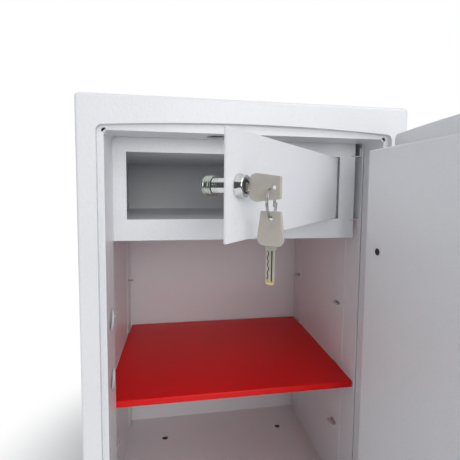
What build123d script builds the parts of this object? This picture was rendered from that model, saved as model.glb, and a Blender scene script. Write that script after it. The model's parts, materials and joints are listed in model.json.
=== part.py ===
"""Free-standing sheet-steel security safe with an inner locker, doors standing open."""
import math
import os

from build123d import *

os.makedirs("parts", exist_ok=True)

# Cabinet: X to the right, Y to the back, Z up, origin at the middle of the base
WIDTH = 450.0
HEIGHT = 690.0
DEPTH = 380.0
SHELL = 3.0
FRONT_FOLD = 4.0
BODY_CORNER = 6.0

# How far a cut runs past the faces that it goes through
CUT = 1.0

# Door opening and the stepped frame behind it
STILE = 24.5
HEAD = 31.6
ARCH_RISE = 7.0
ARCH_CORNER = 8.0
STEP_DEPTH = 6.9
LEDGE = 8.2
LEDGE_TOP = 12.6
FRAME_SHEET = 3.0
FRAME_DEPTH = 58.2
FLANGE_CORNER = 6.0
RELIEF_RADIUS = 3.0

# Inner box of the double wall
LINER = 2.3
WALL = 14.4
HINGE_WALL = 35.6
BACK_WALL = 20.4

# Anchor holes in the floor
ANCHOR_RADIUS = 6.5
ANCHOR_SLEEVE = 10.0
ANCHOR_PITCH_X = 260.0
ANCHOR_PITCH_Y = 200.0

# Shelf, its rails and their lanced tabs
RAIL_SHEET = 1.2
RAIL_WIDTH = 45.0
RAIL_FOOT = 25.6
RAIL_HEAD = 8.0
FRONT_RAIL_SET = 66.3
REAR_RAIL_SET = 31.1
TAB_WIDTH = 19.0
TAB_REACH = 9.0
TAB_SHEET = 1.5
TAB_SLIT = 4.0
TAB_PITCH = 114.0
TAB_COUNT = 3
SHELF_DROP = 93.5
SHELF_SHEET = 1.2
SHELF_GAP = 0.5
SHELF_SEAT = 0.3
SHELF_FRONT_GAP = 2.8
SHELF_BACK_GAP = 4.5
SHELF_LIP = 10.0
SHELF_NOTCH = 2.2
SHELF_NOTCH_LENGTH = 47.0

# Locker across the top of the cavity
FASCIA_LEFT_GAP = 9.8
FASCIA_RIGHT_GAP = 10.1
FASCIA_COVER = 10.2
FASCIA_SET = 3.4
FASCIA_SHEET = 1.5
FASCIA_BAND = 31.2
FASCIA_LEFT_BAND = 27.5
FASCIA_RIGHT_BAND = 25.7
LOCKER_HEIGHT = 97.6
LOCKER_SHEET = 1.2
LOCKER_SETBACK = 1.4
WELD_LIP = 12.0
LUG_SLOT = 6.5
LUG_SLOT_HEIGHT = 1.9

# Locker door, hung on two pins in lugs bent back from the fascia
LOCKER_DOOR_SHEET = 2.0
LOCKER_DOOR_GAP = 1.5
LOCKER_DOOR_CORNER = 0.8
LOCKER_PIVOT_INSET = 3.0
LOCKER_PIVOT_BACK = 1.5
LOCKER_HINGE_GAP = 2.5
LOCKER_OPEN = 48.7
PIVOT_PIN = 1.2
PIVOT_COLLAR = 2.2
PIVOT_COLLAR_GAP = 0.3
PIVOT_CLEARANCE = 0.06
PIVOT_SEAT = 10.0
LUG_HALF_WIDTH = 5.0
LUG_DEPTH = 9.0

# Cam lock of the locker door
CAM_LOCK_INSET = 21.0
BEZEL_BASE = 11.0
BEZEL_RIM = 9.4
BEZEL_HEIGHT = 7.5
PLUG_RADIUS = 5.9
PLUG_RECESS = 0.8
PLUG_CLEARANCE = 0.06
PLUG_END = 2.0
BARREL_RADIUS = 8.0
BARREL_FLAT = 6.8
BARREL_LENGTH = 23.0
LOCK_NUT = 12.5
LOCK_NUT_HEIGHT = 5.0
CAM_SHEET = 2.0
CAM_REACH = 33.0
CAM_WIDTH = 14.0
CAM_CRANK = 18.0
CAM_TIP_BACK = 4.5
CAM_GAP = 0.3
CAM_HUB_RIM = 2.0
CAM_WASHER = 1.2
CAM_SCREW = 9.7
CAM_SCREW_HEIGHT = 4.0
CAM_SCREW_STEP = 1.0

# Keys and split ring
KEY_BLADE = 2.2
KEY_BLADE_HEIGHT = 7.5
KEY_BLADE_LENGTH = 30.5
KEY_BOW = 3.0
KEY_BOW_LENGTH = 25.7
KEY_BOW_HEIGHT = 21.5
KEY_BOW_STANDOFF = 2.8
KEY_PLAY = 0.05
BOW_THROAT = 0.55
BOW_HEEL = 0.5
BOW_SHOULDER = 4.5
BOW_TAPER = 6.0
BOW_ROUND = 3.0
BOW_EDGE = 0.5
KEY_HOLE = 1.9
KEY_HOLE_OUT = 30.0
KEY_HOLE_DROP = 1.0
RING_RADIUS = 11.7
RING_WIRE = 0.7
RING_SPREAD = 0.8
RING_PLAY = 0.4
SPARE_BOW_LENGTH = 25.0
SPARE_BOW_WIDTH = 20.5
SPARE_HOLE_DROP = 4.6
SPARE_BOW_SHARES = (0.72, 0.92, 0.6)
SPARE_CHEEK = 8.0
SPARE_FOOT = 7.0
SPARE_ROUND = 2.6
BLADE_NOSE = 1.5

# Main door
DOOR_GAP = 2.0
DOOR_PLATE = 6.0
DOOR_INSET = 0.5
DOOR_OPEN = 90.0
PAN_SIDE_GAP = 3.3
PAN_TOP_GAP = 19.8
PAN_SHEET = 1.5
PAN_DEPTH = 44.0
PAN_FOLD = 3.0
COVER_SCREW_INSET = 29.0
COVER_SCREW_DROP = 131.0
COVER_SCREW_RADIUS = 4.5
COVER_SCREW_CROWN = 3.1
COVER_SCREW_RIM = 0.8
COVER_SCREW_HEAD = 2.2
COVER_SCREW_LENGTH = 9.5
COVER_SCREW_HOLE = 2.5
POST_RADIUS = 7.0
POST_BORE = 10.0

# Hinges of the main door
HINGE_OUT = 7.5
HINGE_PROUD = 7.0
KNUCKLE_RADIUS = 6.4
KNUCKLE_LENGTH = 34.0
KNUCKLE_GAP = 0.4
HINGE_PIN = 3.5
HINGE_PIN_HEAD = 5.6
HINGE_PIN_HEAD_HEIGHT = 3.0
HINGE_PIN_CLEARANCE = 0.06
HINGE_DROP = 98.4
WELD_PAD = 3.0
PAD_REACH = 12.4
LEAF_WIDTH = 28.0
LINK_REACH = 6.0
LINK_BITE = 1.0
LINK_GAP = 0.6

# Locking bolts
BOLT_RADIUS = 10.0
BOLT_HOLE_RADIUS = 16.0
BOLT_SET = 11.5
BOLT_PITCH = 86.4
BOLT_CHAMFER = 1.5
BOLT_CLEARANCE = 0.1
BOLT_WALL_CLEARANCE = 1.0
BOLT_TRAVEL = 20.0
SIDE_BOLT_PROUD = 0.5
END_BOLT_X = -44.5
END_BOLT_PROUD = 14.0
SIDE_BOLT_LENGTH = 69.0
END_BOLT_LENGTH = 75.0
UPSTAND = 5.0
UPSTAND_GAP = 3.5
BAR = 5.0
BAR_WIDTH = 15.0
BAR_HEEL = 25.0
BAR_TONGUE = 30.0
BAR_MARGIN = 2.0
BOLT_THREAD = 14.0
THREAD_HOLE = 15.0
BOLT_SCREW_RADIUS = 6.5
BOLT_SCREW_HEAD = 5.3
GUIDE_SHEET = 3.0
GUIDE_FOOT = 14.0
GUIDE_SET = 26.0
GUIDE_MARGIN = 5.0
END_GUIDE_DROP = 36.0
ROD_GUIDE_DROP = 146.0
ROD_GUIDE = 8.0
ROD_GUIDE_WIDTH = 34.0
ROD_GUIDE_CLEARANCE = 0.3
ROD_GUIDE_WALL = 3.7

# Cam plate that drives the bolts, and the handle
CAM_PLATE = 4.0
CAM_PLATE_SET = 5.5
CAM_PLATE_RADIUS = 54.0
CAM_PLATE_BAR_GAP = 0.3
HANDLE_TURN = 90.0
SPIRAL_START = 22.0
SPIRAL_ARCS = 2
SLOT_WIDTH = 6.0
FOLLOWER_RADIUS = 2.5
FOLLOWER_PROUD = 0.5
CAM_HUB_RADIUS = 11.0
SPINDLE = 6.0
SPINDLE_CLEARANCE = 0.06
SPINDLE_IN_HANDLE = 10.0
ROSE_RADIUS = 27.0
ROSE_SHOULDER = 26.0
ROSE_FACE = 23.0
ROSE_HEIGHT = 6.0
HANDLE_NECK = 11.0
HANDLE_OUT = 44.0
HANDLE_GAP = 0.3
HANDLE_EASE = 3.0
HANDLE_HUB = 19.0
GRIP_LENGTH = 118.0
GRIP_WIDTH = 17.0
GRIP_END_WIDTH = 12.0
GRIP_DEPTH = 14.0
GRIP_SET = 1.0
GRIP_ROUND = 5.5
GRIP_EDGE = 2.5

# Lever lock of the main door
LOCK_CASE_GAP = 7.5
LOCK_KEY_SET = 43.0
LOCK_CASE_WIDTH = 80.0
LOCK_CASE_HEIGHT = 66.0
LOCK_CASE_DEPTH = 20.0
LOCK_CASE_SHEET = 2.0
LOCK_BOLT_HEIGHT = 25.0
LOCK_BOLT_THICK = 8.0
LOCK_BOLT_LIFT = 1.2
LOCK_BOLT_EDGE = 1.0
LOCK_BOLT_THROW = 8.0
LOCK_BOLT_LENGTH = 46.0
LOCK_BOLT_REST_GAP = 2.5
LOCK_BOLT_CLEARANCE = 0.3
NOTCH_CLEARANCE = 1.0
NOTCH_SIDE = 1.5
KEYHOLE_RADIUS = 4.0
KEY_SWEEP = 2.0
KEYHOLE_SLOT = 3.2
KEYHOLE_DROP = 11.0
ESCUTCHEON_WIDTH = 24.0
ESCUTCHEON_HEIGHT = 50.0
ESCUTCHEON_SHEET = 2.0
SWING_COVER_SHEET = 2.0
SWING_COVER_WIDTH = 17.0
SWING_COVER_GAP = 0.3
SWING_RISE = 2.0
SWING_DROP = 3.0
SWING_EYE = 6.0
SWING_PIN = 2.0
SWING_PIN_HEAD = 3.6
SWING_PIN_HEAD_HEIGHT = 1.4

FRONT_Y = -DEPTH / 2
BACK_Y = DEPTH / 2
MID_Z = HEIGHT / 2

# Opening and frame
OPENING_WIDTH = WIDTH - 2 * STILE
OPENING_HEIGHT = HEIGHT - 2 * HEAD
FRAME_FRONT_Y = FRONT_Y + STEP_DEPTH
FLANGE_END_Y = FRONT_Y + FRAME_DEPTH
FLANGE_HALF = OPENING_WIDTH / 2 - LEDGE
FLANGE_HEIGHT = OPENING_HEIGHT / 2 - LEDGE_TOP
FLANGE_BOTTOM = MID_Z - FLANGE_HEIGHT
FLANGE_TOP = MID_Z + FLANGE_HEIGHT

# Liner
LINER_LEFT = WALL - WIDTH / 2
LINER_RIGHT = WIDTH / 2 - HINGE_WALL
LINER_FLOOR = WALL
LINER_CEILING = HEIGHT - WALL
LINER_BACK = BACK_Y - BACK_WALL

# Locker
FASCIA_LEFT = LINER_LEFT + FASCIA_LEFT_GAP
FASCIA_RIGHT = LINER_RIGHT - FASCIA_RIGHT_GAP
FASCIA_TOP = FLANGE_TOP + FASCIA_COVER
FASCIA_Y = FLANGE_END_Y + FASCIA_SET
LOCKER_LEFT = FASCIA_LEFT + FASCIA_LEFT_BAND
LOCKER_RIGHT = FASCIA_RIGHT - FASCIA_RIGHT_BAND
LOCKER_TOP = FASCIA_TOP - FASCIA_BAND
LOCKER_BOTTOM = LOCKER_TOP - LOCKER_HEIGHT
FASCIA_BOTTOM = LOCKER_BOTTOM - FASCIA_BAND
CAM_LOCK_Z = (LOCKER_BOTTOM + LOCKER_TOP) / 2

# Shelf and rails
RAIL_BOTTOM = LINER_FLOOR + RAIL_FOOT
RAIL_TOP = FASCIA_BOTTOM - RAIL_HEAD
RAIL_YS = (FLANGE_END_Y + FRONT_RAIL_SET, LINER_BACK - REAR_RAIL_SET)
SHELF_TAB = MID_Z - SHELF_DROP
TAB_TOPS = [SHELF_TAB + TAB_PITCH * (index - 1) for index in range(TAB_COUNT)]
SHELF_FRONT_Y = FLANGE_END_Y + SHELF_FRONT_GAP
SHELF_BACK_Y = LINER_BACK - SHELF_BACK_GAP

# Main door
PLATE_FRONT_Y = FRONT_Y + DOOR_INSET
PLATE_BACK_Y = PLATE_FRONT_Y + DOOR_PLATE
PLATE_HALF = OPENING_WIDTH / 2 - DOOR_GAP
PAN_HALF = FLANGE_HALF - PAN_SIDE_GAP
PAN_HALF_HEIGHT = FLANGE_HEIGHT - PAN_TOP_GAP
PAN_FACE_Y = PLATE_BACK_Y + PAN_DEPTH
COVER_SCREW_RISE = PAN_HALF_HEIGHT - COVER_SCREW_DROP
HINGE_X = OPENING_WIDTH / 2 + HINGE_OUT
HINGE_Y = FRONT_Y - HINGE_PROUD
HINGE_RISE = OPENING_HEIGHT / 2 - HINGE_DROP
HINGE_ZS = (MID_Z - HINGE_RISE, MID_Z + HINGE_RISE)

# Bolt work
BOLT_Y = PAN_FACE_Y - BOLT_SET
BOLT_ZS = (MID_Z - BOLT_PITCH / 2, MID_Z + BOLT_PITCH / 2)
SIDE_BOLT_TIP = -PAN_HALF - SIDE_BOLT_PROUD
SIDE_BOLT_HEEL = SIDE_BOLT_TIP + SIDE_BOLT_LENGTH
END_BOLT_TIP = MID_Z + PAN_HALF_HEIGHT + END_BOLT_PROUD
END_BOLT_HEEL = END_BOLT_TIP - END_BOLT_LENGTH
UPSTAND_TOP_Y = PAN_FACE_Y - UPSTAND_GAP
GUIDE_X = GUIDE_SET - PAN_HALF
ROD_GUIDE_RISE = PAN_HALF_HEIGHT - ROD_GUIDE_DROP
CAM_PLATE_Y = PLATE_BACK_Y + CAM_PLATE_SET
LOCK_CASE_LEFT = END_BOLT_X + CAM_PLATE_RADIUS + LOCK_CASE_GAP
LOCK_X = LOCK_CASE_LEFT + LOCK_KEY_SET


def block(x, y, z):
    """A box between two limits on each axis."""
    size = [high - low for low, high in (x, y, z)]
    middle = [(high + low) / 2 for low, high in (x, y, z)]
    return Pos(*middle) * Box(*size)


def rod_x(radius, x, y, z):
    return Pos((x[0] + x[1]) / 2, y, z) * Rot(0, 90, 0) * Cylinder(radius, x[1] - x[0])


def rod_y(radius, x, y, z):
    return Pos(x, (y[0] + y[1]) / 2, z) * Rot(90, 0, 0) * Cylinder(radius, y[1] - y[0])


def rod_z(radius, x, y, z):
    return Pos(x, y, (z[0] + z[1]) / 2) * Cylinder(radius, z[1] - z[0])


def front_prism(outline, y):
    """A face drawn in X and Z, pulled back from y[0] to y[1]."""
    placed = Plane(origin=(0, y[0], 0), x_dir=(1, 0, 0), z_dir=(0, -1, 0)) * outline
    return extrude(placed, amount=-(y[1] - y[0]))


def mirrored(shape):
    """The same piece on the other side of mid-height."""
    return shape.mirror(Plane(origin=(0, 0, MID_Z), z_dir=(0, 0, 1)))


def arched(grow):
    """The door opening's outline, or one that is larger by grow all round."""
    half = OPENING_WIDTH / 2 + grow
    tall = OPENING_HEIGHT / 2 - ARCH_RISE + grow
    crown = tall + ARCH_RISE
    edges = Line((-half, -tall), (-half, tall))
    edges += ThreePointArc((-half, tall), (0, crown), (half, tall))
    edges += Line((half, tall), (half, -tall))
    edges += ThreePointArc((half, -tall), (0, -crown), (-half, -tall))
    face = make_face(edges)
    return Pos(0, MID_Z) * fillet(face.vertices(), ARCH_CORNER + grow)


def flange_outline(grow):
    half = FLANGE_HALF + grow
    tall = FLANGE_HEIGHT + grow
    return Pos(0, MID_Z) * RectangleRounded(2 * half, 2 * tall, FLANGE_CORNER + grow)


def outer_shell():
    body = block((-WIDTH / 2, WIDTH / 2), (FRONT_Y, BACK_Y - SHELL), (0, HEIGHT))
    body = fillet(body.edges().filter_by(Axis.Y), BODY_CORNER)
    body = fillet(body.faces().sort_by(Axis.Y)[0].edges(), FRONT_FOLD)
    room = RectangleRounded(WIDTH - 2 * SHELL, HEIGHT - 2 * SHELL, BODY_CORNER - SHELL)
    body -= front_prism(Pos(0, MID_Z) * room, (FRONT_Y + SHELL, BACK_Y))
    body -= front_prism(arched(0), (FRONT_Y - CUT, FRONT_Y + SHELL + CUT))
    return body - anchor_holes((-CUT, SHELL + CUT))


def anchor_places():
    for x in (-ANCHOR_PITCH_X / 2, ANCHOR_PITCH_X / 2):
        for y in (-ANCHOR_PITCH_Y / 2, ANCHOR_PITCH_Y / 2):
            yield x, y


def anchor_holes(z):
    return [rod_z(ANCHOR_RADIUS, x, y, z) for x, y in anchor_places()]


def anchor_sleeves():
    top = LINER_FLOOR - LINER
    sleeves = []
    for x, y in anchor_places():
        tube = rod_z(ANCHOR_SLEEVE, x, y, (SHELL, top))
        sleeves.append(tube - rod_z(ANCHOR_RADIUS, x, y, (SHELL - CUT, top + CUT)))
    return sleeves


def back_panel():
    panel = Pos(0, MID_Z) * RectangleRounded(WIDTH, HEIGHT, BODY_CORNER)
    return front_prism(panel, (BACK_Y - SHELL, BACK_Y))


def door_frame():
    step_back = FRAME_FRONT_Y + FRAME_SHEET
    ring = front_prism(arched(FRAME_SHEET), (FRONT_Y + SHELL, step_back))
    ring -= front_prism(arched(0), (FRONT_Y, FRAME_FRONT_Y))
    frame = ring + front_prism(flange_outline(FRAME_SHEET), (FRAME_FRONT_Y, FLANGE_END_Y))
    frame -= front_prism(flange_outline(0), (FRAME_FRONT_Y - CUT, FLANGE_END_Y + CUT))
    for side in (-1, 1):
        for end in (-1, 1):
            corner = (side * FLANGE_HALF, MID_Z + end * FLANGE_HEIGHT)
            frame -= rod_y(RELIEF_RADIUS, corner[0], (FRAME_FRONT_Y - CUT, step_back), corner[1])
    through = FRAME_SHEET + CUT
    for z in BOLT_ZS:
        frame -= rod_x(BOLT_HOLE_RADIUS, (-FLANGE_HALF - through, CUT - FLANGE_HALF), BOLT_Y, z)
    for z in ((FLANGE_BOTTOM - through, FLANGE_BOTTOM + CUT), (FLANGE_TOP - CUT, FLANGE_TOP + through)):
        frame -= rod_z(BOLT_HOLE_RADIUS, END_BOLT_X, BOLT_Y, z)
    return frame


def liner():
    left, right = LINER_LEFT, LINER_RIGHT
    box = block((left - LINER, right + LINER), (FLANGE_END_Y, LINER_BACK + LINER),
                (LINER_FLOOR - LINER, LINER_CEILING + LINER))
    box = fillet(box.edges().filter_by(Axis.Y), LINER)
    box -= block((left, right), (FLANGE_END_Y + LINER, LINER_BACK), (LINER_FLOOR, LINER_CEILING))
    box -= block((-FLANGE_HALF, right), (FLANGE_END_Y - CUT, LINER_BACK), (FLANGE_BOTTOM, FLANGE_TOP))
    for y in RAIL_YS:
        for top in TAB_TOPS:
            slit = (y - TAB_WIDTH / 2, y + TAB_WIDTH / 2)
            box -= block((left - LINER - CUT, left + CUT), slit, (top, top + TAB_SLIT))
            box -= block((right - CUT, right + LINER + CUT), slit, (top, top + TAB_SLIT))
    return box - anchor_holes((LINER_FLOOR - LINER - CUT, LINER_FLOOR + CUT))


def shelf_rail(wall, inward, y):
    """One rail on the liner wall at X = wall, its tabs bent towards the cavity."""
    face = wall + inward * RAIL_SHEET
    ends = (min(wall, face), max(wall, face))
    rail = block(ends, (y - RAIL_WIDTH / 2, y + RAIL_WIDTH / 2), (RAIL_BOTTOM, RAIL_TOP))
    slit = (y - TAB_WIDTH / 2, y + TAB_WIDTH / 2)
    tip = face + inward * TAB_REACH
    for top in TAB_TOPS:
        rail -= block((ends[0] - CUT, ends[1] + CUT), slit, (top, top + TAB_SLIT))
        tab = block((min(wall, tip), max(wall, tip)), slit, (top - TAB_SHEET, top))
        far = tab.edges().filter_by(Axis.Z).group_by(Axis.X)[-1 if inward > 0 else 0]
        rail += fillet(far, TAB_REACH / 3)
    return rail


def shelf_rails():
    sides = ((LINER_LEFT, 1), (LINER_RIGHT, -1))
    return [shelf_rail(wall, inward, y) for wall, inward in sides for y in RAIL_YS]


def shelf():
    left = LINER_LEFT + RAIL_SHEET + SHELF_GAP
    right = LINER_RIGHT - RAIL_SHEET - SHELF_GAP
    under = SHELF_TAB + SHELF_SEAT
    top = under + SHELF_SHEET
    plate = block((left, right), (SHELF_FRONT_Y, SHELF_BACK_Y), (under, top))
    lips = (SHELF_FRONT_Y, SHELF_BACK_Y - SHELF_SHEET)
    for y in lips:
        plate += block((left + TAB_REACH, right - TAB_REACH), (y, y + SHELF_SHEET),
                       (top - SHELF_LIP, top))
    notch = (SHELF_BACK_Y - SHELF_NOTCH_LENGTH, SHELF_BACK_Y + CUT)
    plate -= block((left - CUT, left + SHELF_NOTCH), notch, (under - CUT, top + CUT))
    plate -= block((right - SHELF_NOTCH, right + CUT), notch, (under - CUT, top + CUT))
    return plate


def locker_fascia():
    plate = block((FASCIA_LEFT, FASCIA_RIGHT), (FASCIA_Y, FASCIA_Y + FASCIA_SHEET),
                  (FASCIA_BOTTOM, FASCIA_TOP))
    deep = (FASCIA_Y - CUT, FASCIA_Y + FASCIA_SHEET + CUT)
    plate -= block((LOCKER_LEFT, LOCKER_RIGHT), deep, (LOCKER_BOTTOM, LOCKER_TOP))
    x, y = locker_pivot()
    for edge, sheet in pivot_lugs():
        lug = block((x - LUG_HALF_WIDTH, x + LUG_HALF_WIDTH), (FASCIA_Y, FASCIA_Y + LUG_DEPTH),
                    (min(edge, sheet), max(edge, sheet)))
        plate += lug
        through = (edge - 2 * LOCKER_SETBACK, edge + 2 * LOCKER_SETBACK)
        plate -= rod_z(PIVOT_PIN + PIVOT_CLEARANCE, x, y, through)
    for low, high in locker_sheets():
        middle = (low + high) / 2
        slot = (middle - LUG_SLOT_HEIGHT / 2, middle + LUG_SLOT_HEIGHT / 2)
        plate -= block((FASCIA_RIGHT - LUG_SLOT, FASCIA_RIGHT + CUT), deep, slot)
        plate -= block((FASCIA_LEFT - CUT, FASCIA_LEFT + LUG_SLOT), deep, slot)
    return plate


def locker_sheets():
    """Heights of the locker's floor and ceiling sheets."""
    floor = LOCKER_BOTTOM - LOCKER_SETBACK
    ceiling = LOCKER_TOP + LOCKER_SETBACK
    return (floor - LOCKER_SHEET, floor), (ceiling, ceiling + LOCKER_SHEET)


def locker_sheet(heights, lip_side):
    """A full-width sheet with weld lips along both liner walls."""
    low, high = heights
    y = (FASCIA_Y + FASCIA_SHEET, LINER_BACK)
    lip = (low - WELD_LIP, high) if lip_side < 0 else (low, high + WELD_LIP)
    sheet = block((LINER_LEFT, LINER_RIGHT), y, heights)
    sheet += block((LINER_LEFT, LINER_LEFT + LOCKER_SHEET), y, lip)
    sheet += block((LINER_RIGHT - LOCKER_SHEET, LINER_RIGHT), y, lip)
    return sheet


def pivot_lugs():
    """Opening edge and sheet height that each pivot lug lies between."""
    floor, ceiling = locker_sheets()
    return (LOCKER_BOTTOM, floor[1]), (LOCKER_TOP, ceiling[0])


def locker_pivot():
    x = LOCKER_RIGHT - LOCKER_HINGE_GAP - LOCKER_PIVOT_INSET
    return x, FASCIA_Y + LOCKER_PIVOT_BACK


def locker_pin():
    """Upper pivot pin, welded in the door's edge, with a collar under the lug."""
    x, y = locker_pivot()
    edge = LOCKER_TOP - LOCKER_DOOR_GAP
    pin = rod_z(PIVOT_PIN, x, y, (edge - PIVOT_SEAT, LOCKER_TOP + LOCKER_SETBACK - PIVOT_COLLAR_GAP))
    return pin + rod_z(PIVOT_COLLAR, x, y, (edge, LOCKER_TOP - PIVOT_COLLAR_GAP))


def locker_mirrored(shape):
    """The same piece at the other edge of the locker door."""
    middle = (LOCKER_BOTTOM + LOCKER_TOP) / 2
    return shape.mirror(Plane(origin=(0, 0, middle), z_dir=(0, 0, 1)))


def locker_door():
    x, pin_y = locker_pivot()
    hinge_edge = LOCKER_RIGHT - LOCKER_HINGE_GAP
    low = LOCKER_BOTTOM + LOCKER_DOOR_GAP
    high = LOCKER_TOP - LOCKER_DOOR_GAP
    back = FASCIA_Y + LOCKER_DOOR_SHEET
    plate = block((LOCKER_LEFT + LOCKER_DOOR_GAP, hinge_edge), (FASCIA_Y, back), (low, high))
    plate = fillet(plate.edges().filter_by(Axis.Y), LOCKER_DOOR_CORNER)
    seat = block((x - PIVOT_PIN, x + PIVOT_PIN), (FASCIA_Y - CUT, back + CUT),
                 (high - PIVOT_SEAT, high + CUT))
    plate -= seat
    plate -= locker_mirrored(seat)
    lock_x = cam_lock_x()
    return plate - rod_y(BARREL_RADIUS, lock_x, (FASCIA_Y - CUT, back + CUT), CAM_LOCK_Z)


def cam_lock_x():
    return LOCKER_LEFT + LOCKER_DOOR_GAP + CAM_LOCK_INSET


def turned_y(points, x, z):
    """A piece turned on the axis through x and z; points are radius and Y."""
    face = make_face(Polyline([(0, points[0][1])] + list(points) + [(0, points[-1][1])], close=True))
    half = Plane(origin=(x, 0, z), x_dir=(1, 0, 0), z_dir=(0, 0, 1)) * face
    return revolve(half, Axis((x, 0, z), (0, 1, 0)), 360)


def lock_barrel():
    """Chrome bezel and flatted barrel, with the bore that the plug turns in."""
    front = FASCIA_Y
    back = FASCIA_Y + LOCKER_DOOR_SHEET
    tip = front - BEZEL_HEIGHT
    bezel = [(BEZEL_RIM - 1.0, tip), (BEZEL_RIM, tip + 0.8), (BEZEL_RIM + 0.3, tip + 3.2),
             (BEZEL_BASE - 0.6, front - 1.6), (BEZEL_BASE, front - 0.9), (BEZEL_BASE, front)]
    x, z = cam_lock_x(), CAM_LOCK_Z
    body = turned_y(bezel, x, z)
    barrel = rod_y(BARREL_RADIUS, x, (front, back + BARREL_LENGTH), z)
    flats = block((x - BARREL_RADIUS, x + BARREL_RADIUS), (back, back + BARREL_LENGTH),
                  (z - BARREL_FLAT, z + BARREL_FLAT))
    shank = rod_y(BARREL_RADIUS, x, (front, back), z)
    body += shank + (barrel & flats)
    return body - rod_y(PLUG_RADIUS + PLUG_CLEARANCE, x, (tip - CUT, back + BARREL_LENGTH + CUT), z)


def lock_nut():
    back = FASCIA_Y + LOCKER_DOOR_SHEET
    x, z = cam_lock_x(), CAM_LOCK_Z
    nut = front_prism(Pos(x, z) * RegularPolygon(LOCK_NUT, 6), (back, back + LOCK_NUT_HEIGHT))
    hole = rod_y(BARREL_RADIUS, x, (back - CUT, back + LOCK_NUT_HEIGHT + CUT), z)
    flats = block((x - LOCK_NUT, x + LOCK_NUT), (back - CUT, back + LOCK_NUT_HEIGHT + CUT),
                  (z - BARREL_FLAT, z + BARREL_FLAT))
    return nut - (hole & flats)


def lock_plug():
    back = FASCIA_Y + LOCKER_DOOR_SHEET
    tip = FASCIA_Y - BEZEL_HEIGHT + PLUG_RECESS
    x, z = cam_lock_x(), CAM_LOCK_Z
    plug = rod_y(PLUG_RADIUS, x, (tip, back + BARREL_LENGTH + CAM_GAP + CAM_SHEET), z)
    slot = block((x - KEY_BLADE / 2, x + KEY_BLADE / 2), (tip - CUT, back + BARREL_LENGTH - PLUG_END),
                 (z - KEY_BLADE_HEIGHT / 2, z + KEY_BLADE_HEIGHT / 2))
    return plug - slot


def lock_cam():
    """Cranked cam: hub on the plug's end, arm, and a tip close behind the fascia."""
    hub_front = FASCIA_Y + LOCKER_DOOR_SHEET + BARREL_LENGTH + CAM_GAP
    tip_front = FASCIA_Y + LOCKER_DOOR_SHEET + CAM_TIP_BACK
    x, z = cam_lock_x(), CAM_LOCK_Z
    half = CAM_WIDTH / 2
    tall = (z - half, z + half)
    cam = rod_y(half + CAM_HUB_RIM, x, (hub_front, hub_front + CAM_SHEET), z)
    cam += block((x, x + CAM_CRANK), (hub_front, hub_front + CAM_SHEET), tall)
    cam += block((x + CAM_CRANK - CAM_SHEET, x + CAM_CRANK), (tip_front, hub_front + CAM_SHEET), tall)
    cam += block((x + CAM_CRANK - CAM_SHEET, x + CAM_REACH - half),
                 (tip_front, tip_front + CAM_SHEET), tall)
    cam += rod_y(half, x + CAM_REACH - half, (tip_front, tip_front + CAM_SHEET), z)
    return cam - rod_y(PLUG_RADIUS, x, (hub_front - CUT, hub_front + CAM_SHEET + CUT), z)


def cam_screw():
    """Washer and round screw head that hold the cam on the plug."""
    back = FASCIA_Y + LOCKER_DOOR_SHEET + BARREL_LENGTH + CAM_GAP + CAM_SHEET
    x, z = cam_lock_x(), CAM_LOCK_Z
    washer = back + CAM_WASHER
    top = washer + CAM_SCREW_HEIGHT
    head = CAM_SCREW - CAM_SCREW_STEP
    profile = [(CAM_SCREW, back), (CAM_SCREW, washer), (head, washer),
               (head, top - CAM_SCREW_STEP), (head - CAM_SCREW_STEP, top)]
    return turned_y(profile, x, z)


def inserted_key():
    """Blade in the plug, bow standing upright in front of it."""
    x, z = cam_lock_x(), CAM_LOCK_Z
    start = FASCIA_Y - BEZEL_HEIGHT - KEY_BOW_STANDOFF
    end = start - KEY_BOW_LENGTH
    reach = (start - CUT, start + KEY_BLADE_LENGTH)
    thick = KEY_BLADE / 2 - KEY_PLAY
    tall = KEY_BLADE_HEIGHT / 2 - KEY_PLAY
    blade = block((x - thick, x + thick), reach, (z - tall, z + tall))
    half = KEY_BOW_HEIGHT / 2
    throat, heel = half * BOW_THROAT, half * BOW_HEEL
    corners = [(start, -throat), (start, throat), (start - BOW_SHOULDER, half),
               (end + BOW_TAPER, half), (end, heel), (end, -heel),
               (end + BOW_TAPER, -half), (start - BOW_SHOULDER, -half)]
    face = fillet(make_face(Polyline(corners, close=True)).vertices(), BOW_ROUND)
    side = Plane(origin=(x - KEY_BOW / 2, 0, z), x_dir=(0, 1, 0), z_dir=(1, 0, 0)) * face
    bow = extrude(side, amount=KEY_BOW)
    bow = chamfer(bow.edges().group_by(Axis.X)[0] + bow.edges().group_by(Axis.X)[-1], BOW_EDGE)
    hole_x, hole_y, hole_z = key_hole()
    bow -= rod_x(KEY_HOLE, (x - KEY_BOW, x + KEY_BOW), hole_y, hole_z)
    return blade + bow


def key_hole():
    return cam_lock_x(), FASCIA_Y - KEY_HOLE_OUT, CAM_LOCK_Z - KEY_HOLE_DROP


def ring_slack():
    """How far the wire's middle lies from the middle of a hole that it carries."""
    return KEY_HOLE - RING_WIRE - RING_PLAY


def ring_centre():
    """The ring's wire rests on the lower edge of the key's hole."""
    x, y, z = key_hole()
    return x, y, z - ring_slack() - RING_RADIUS


def split_ring():
    """Two flat turns of wire, side by side."""
    x, y, z = ring_centre()
    section = Pos(RING_RADIUS, RING_WIRE * RING_SPREAD) * Circle(RING_WIRE)
    section += Pos(RING_RADIUS, -RING_WIRE * RING_SPREAD) * Circle(RING_WIRE)
    placed = Plane(origin=(x, y, z), x_dir=(1, 0, 0), z_dir=(0, 0, 1)) * section
    return revolve(placed, Axis((x, y, z), (0, 1, 0)), 360)


def spare_hole():
    """Where the ring carries the spare key's hole."""
    x, y, z = ring_centre()
    return x, y, z - RING_RADIUS - ring_slack()


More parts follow.
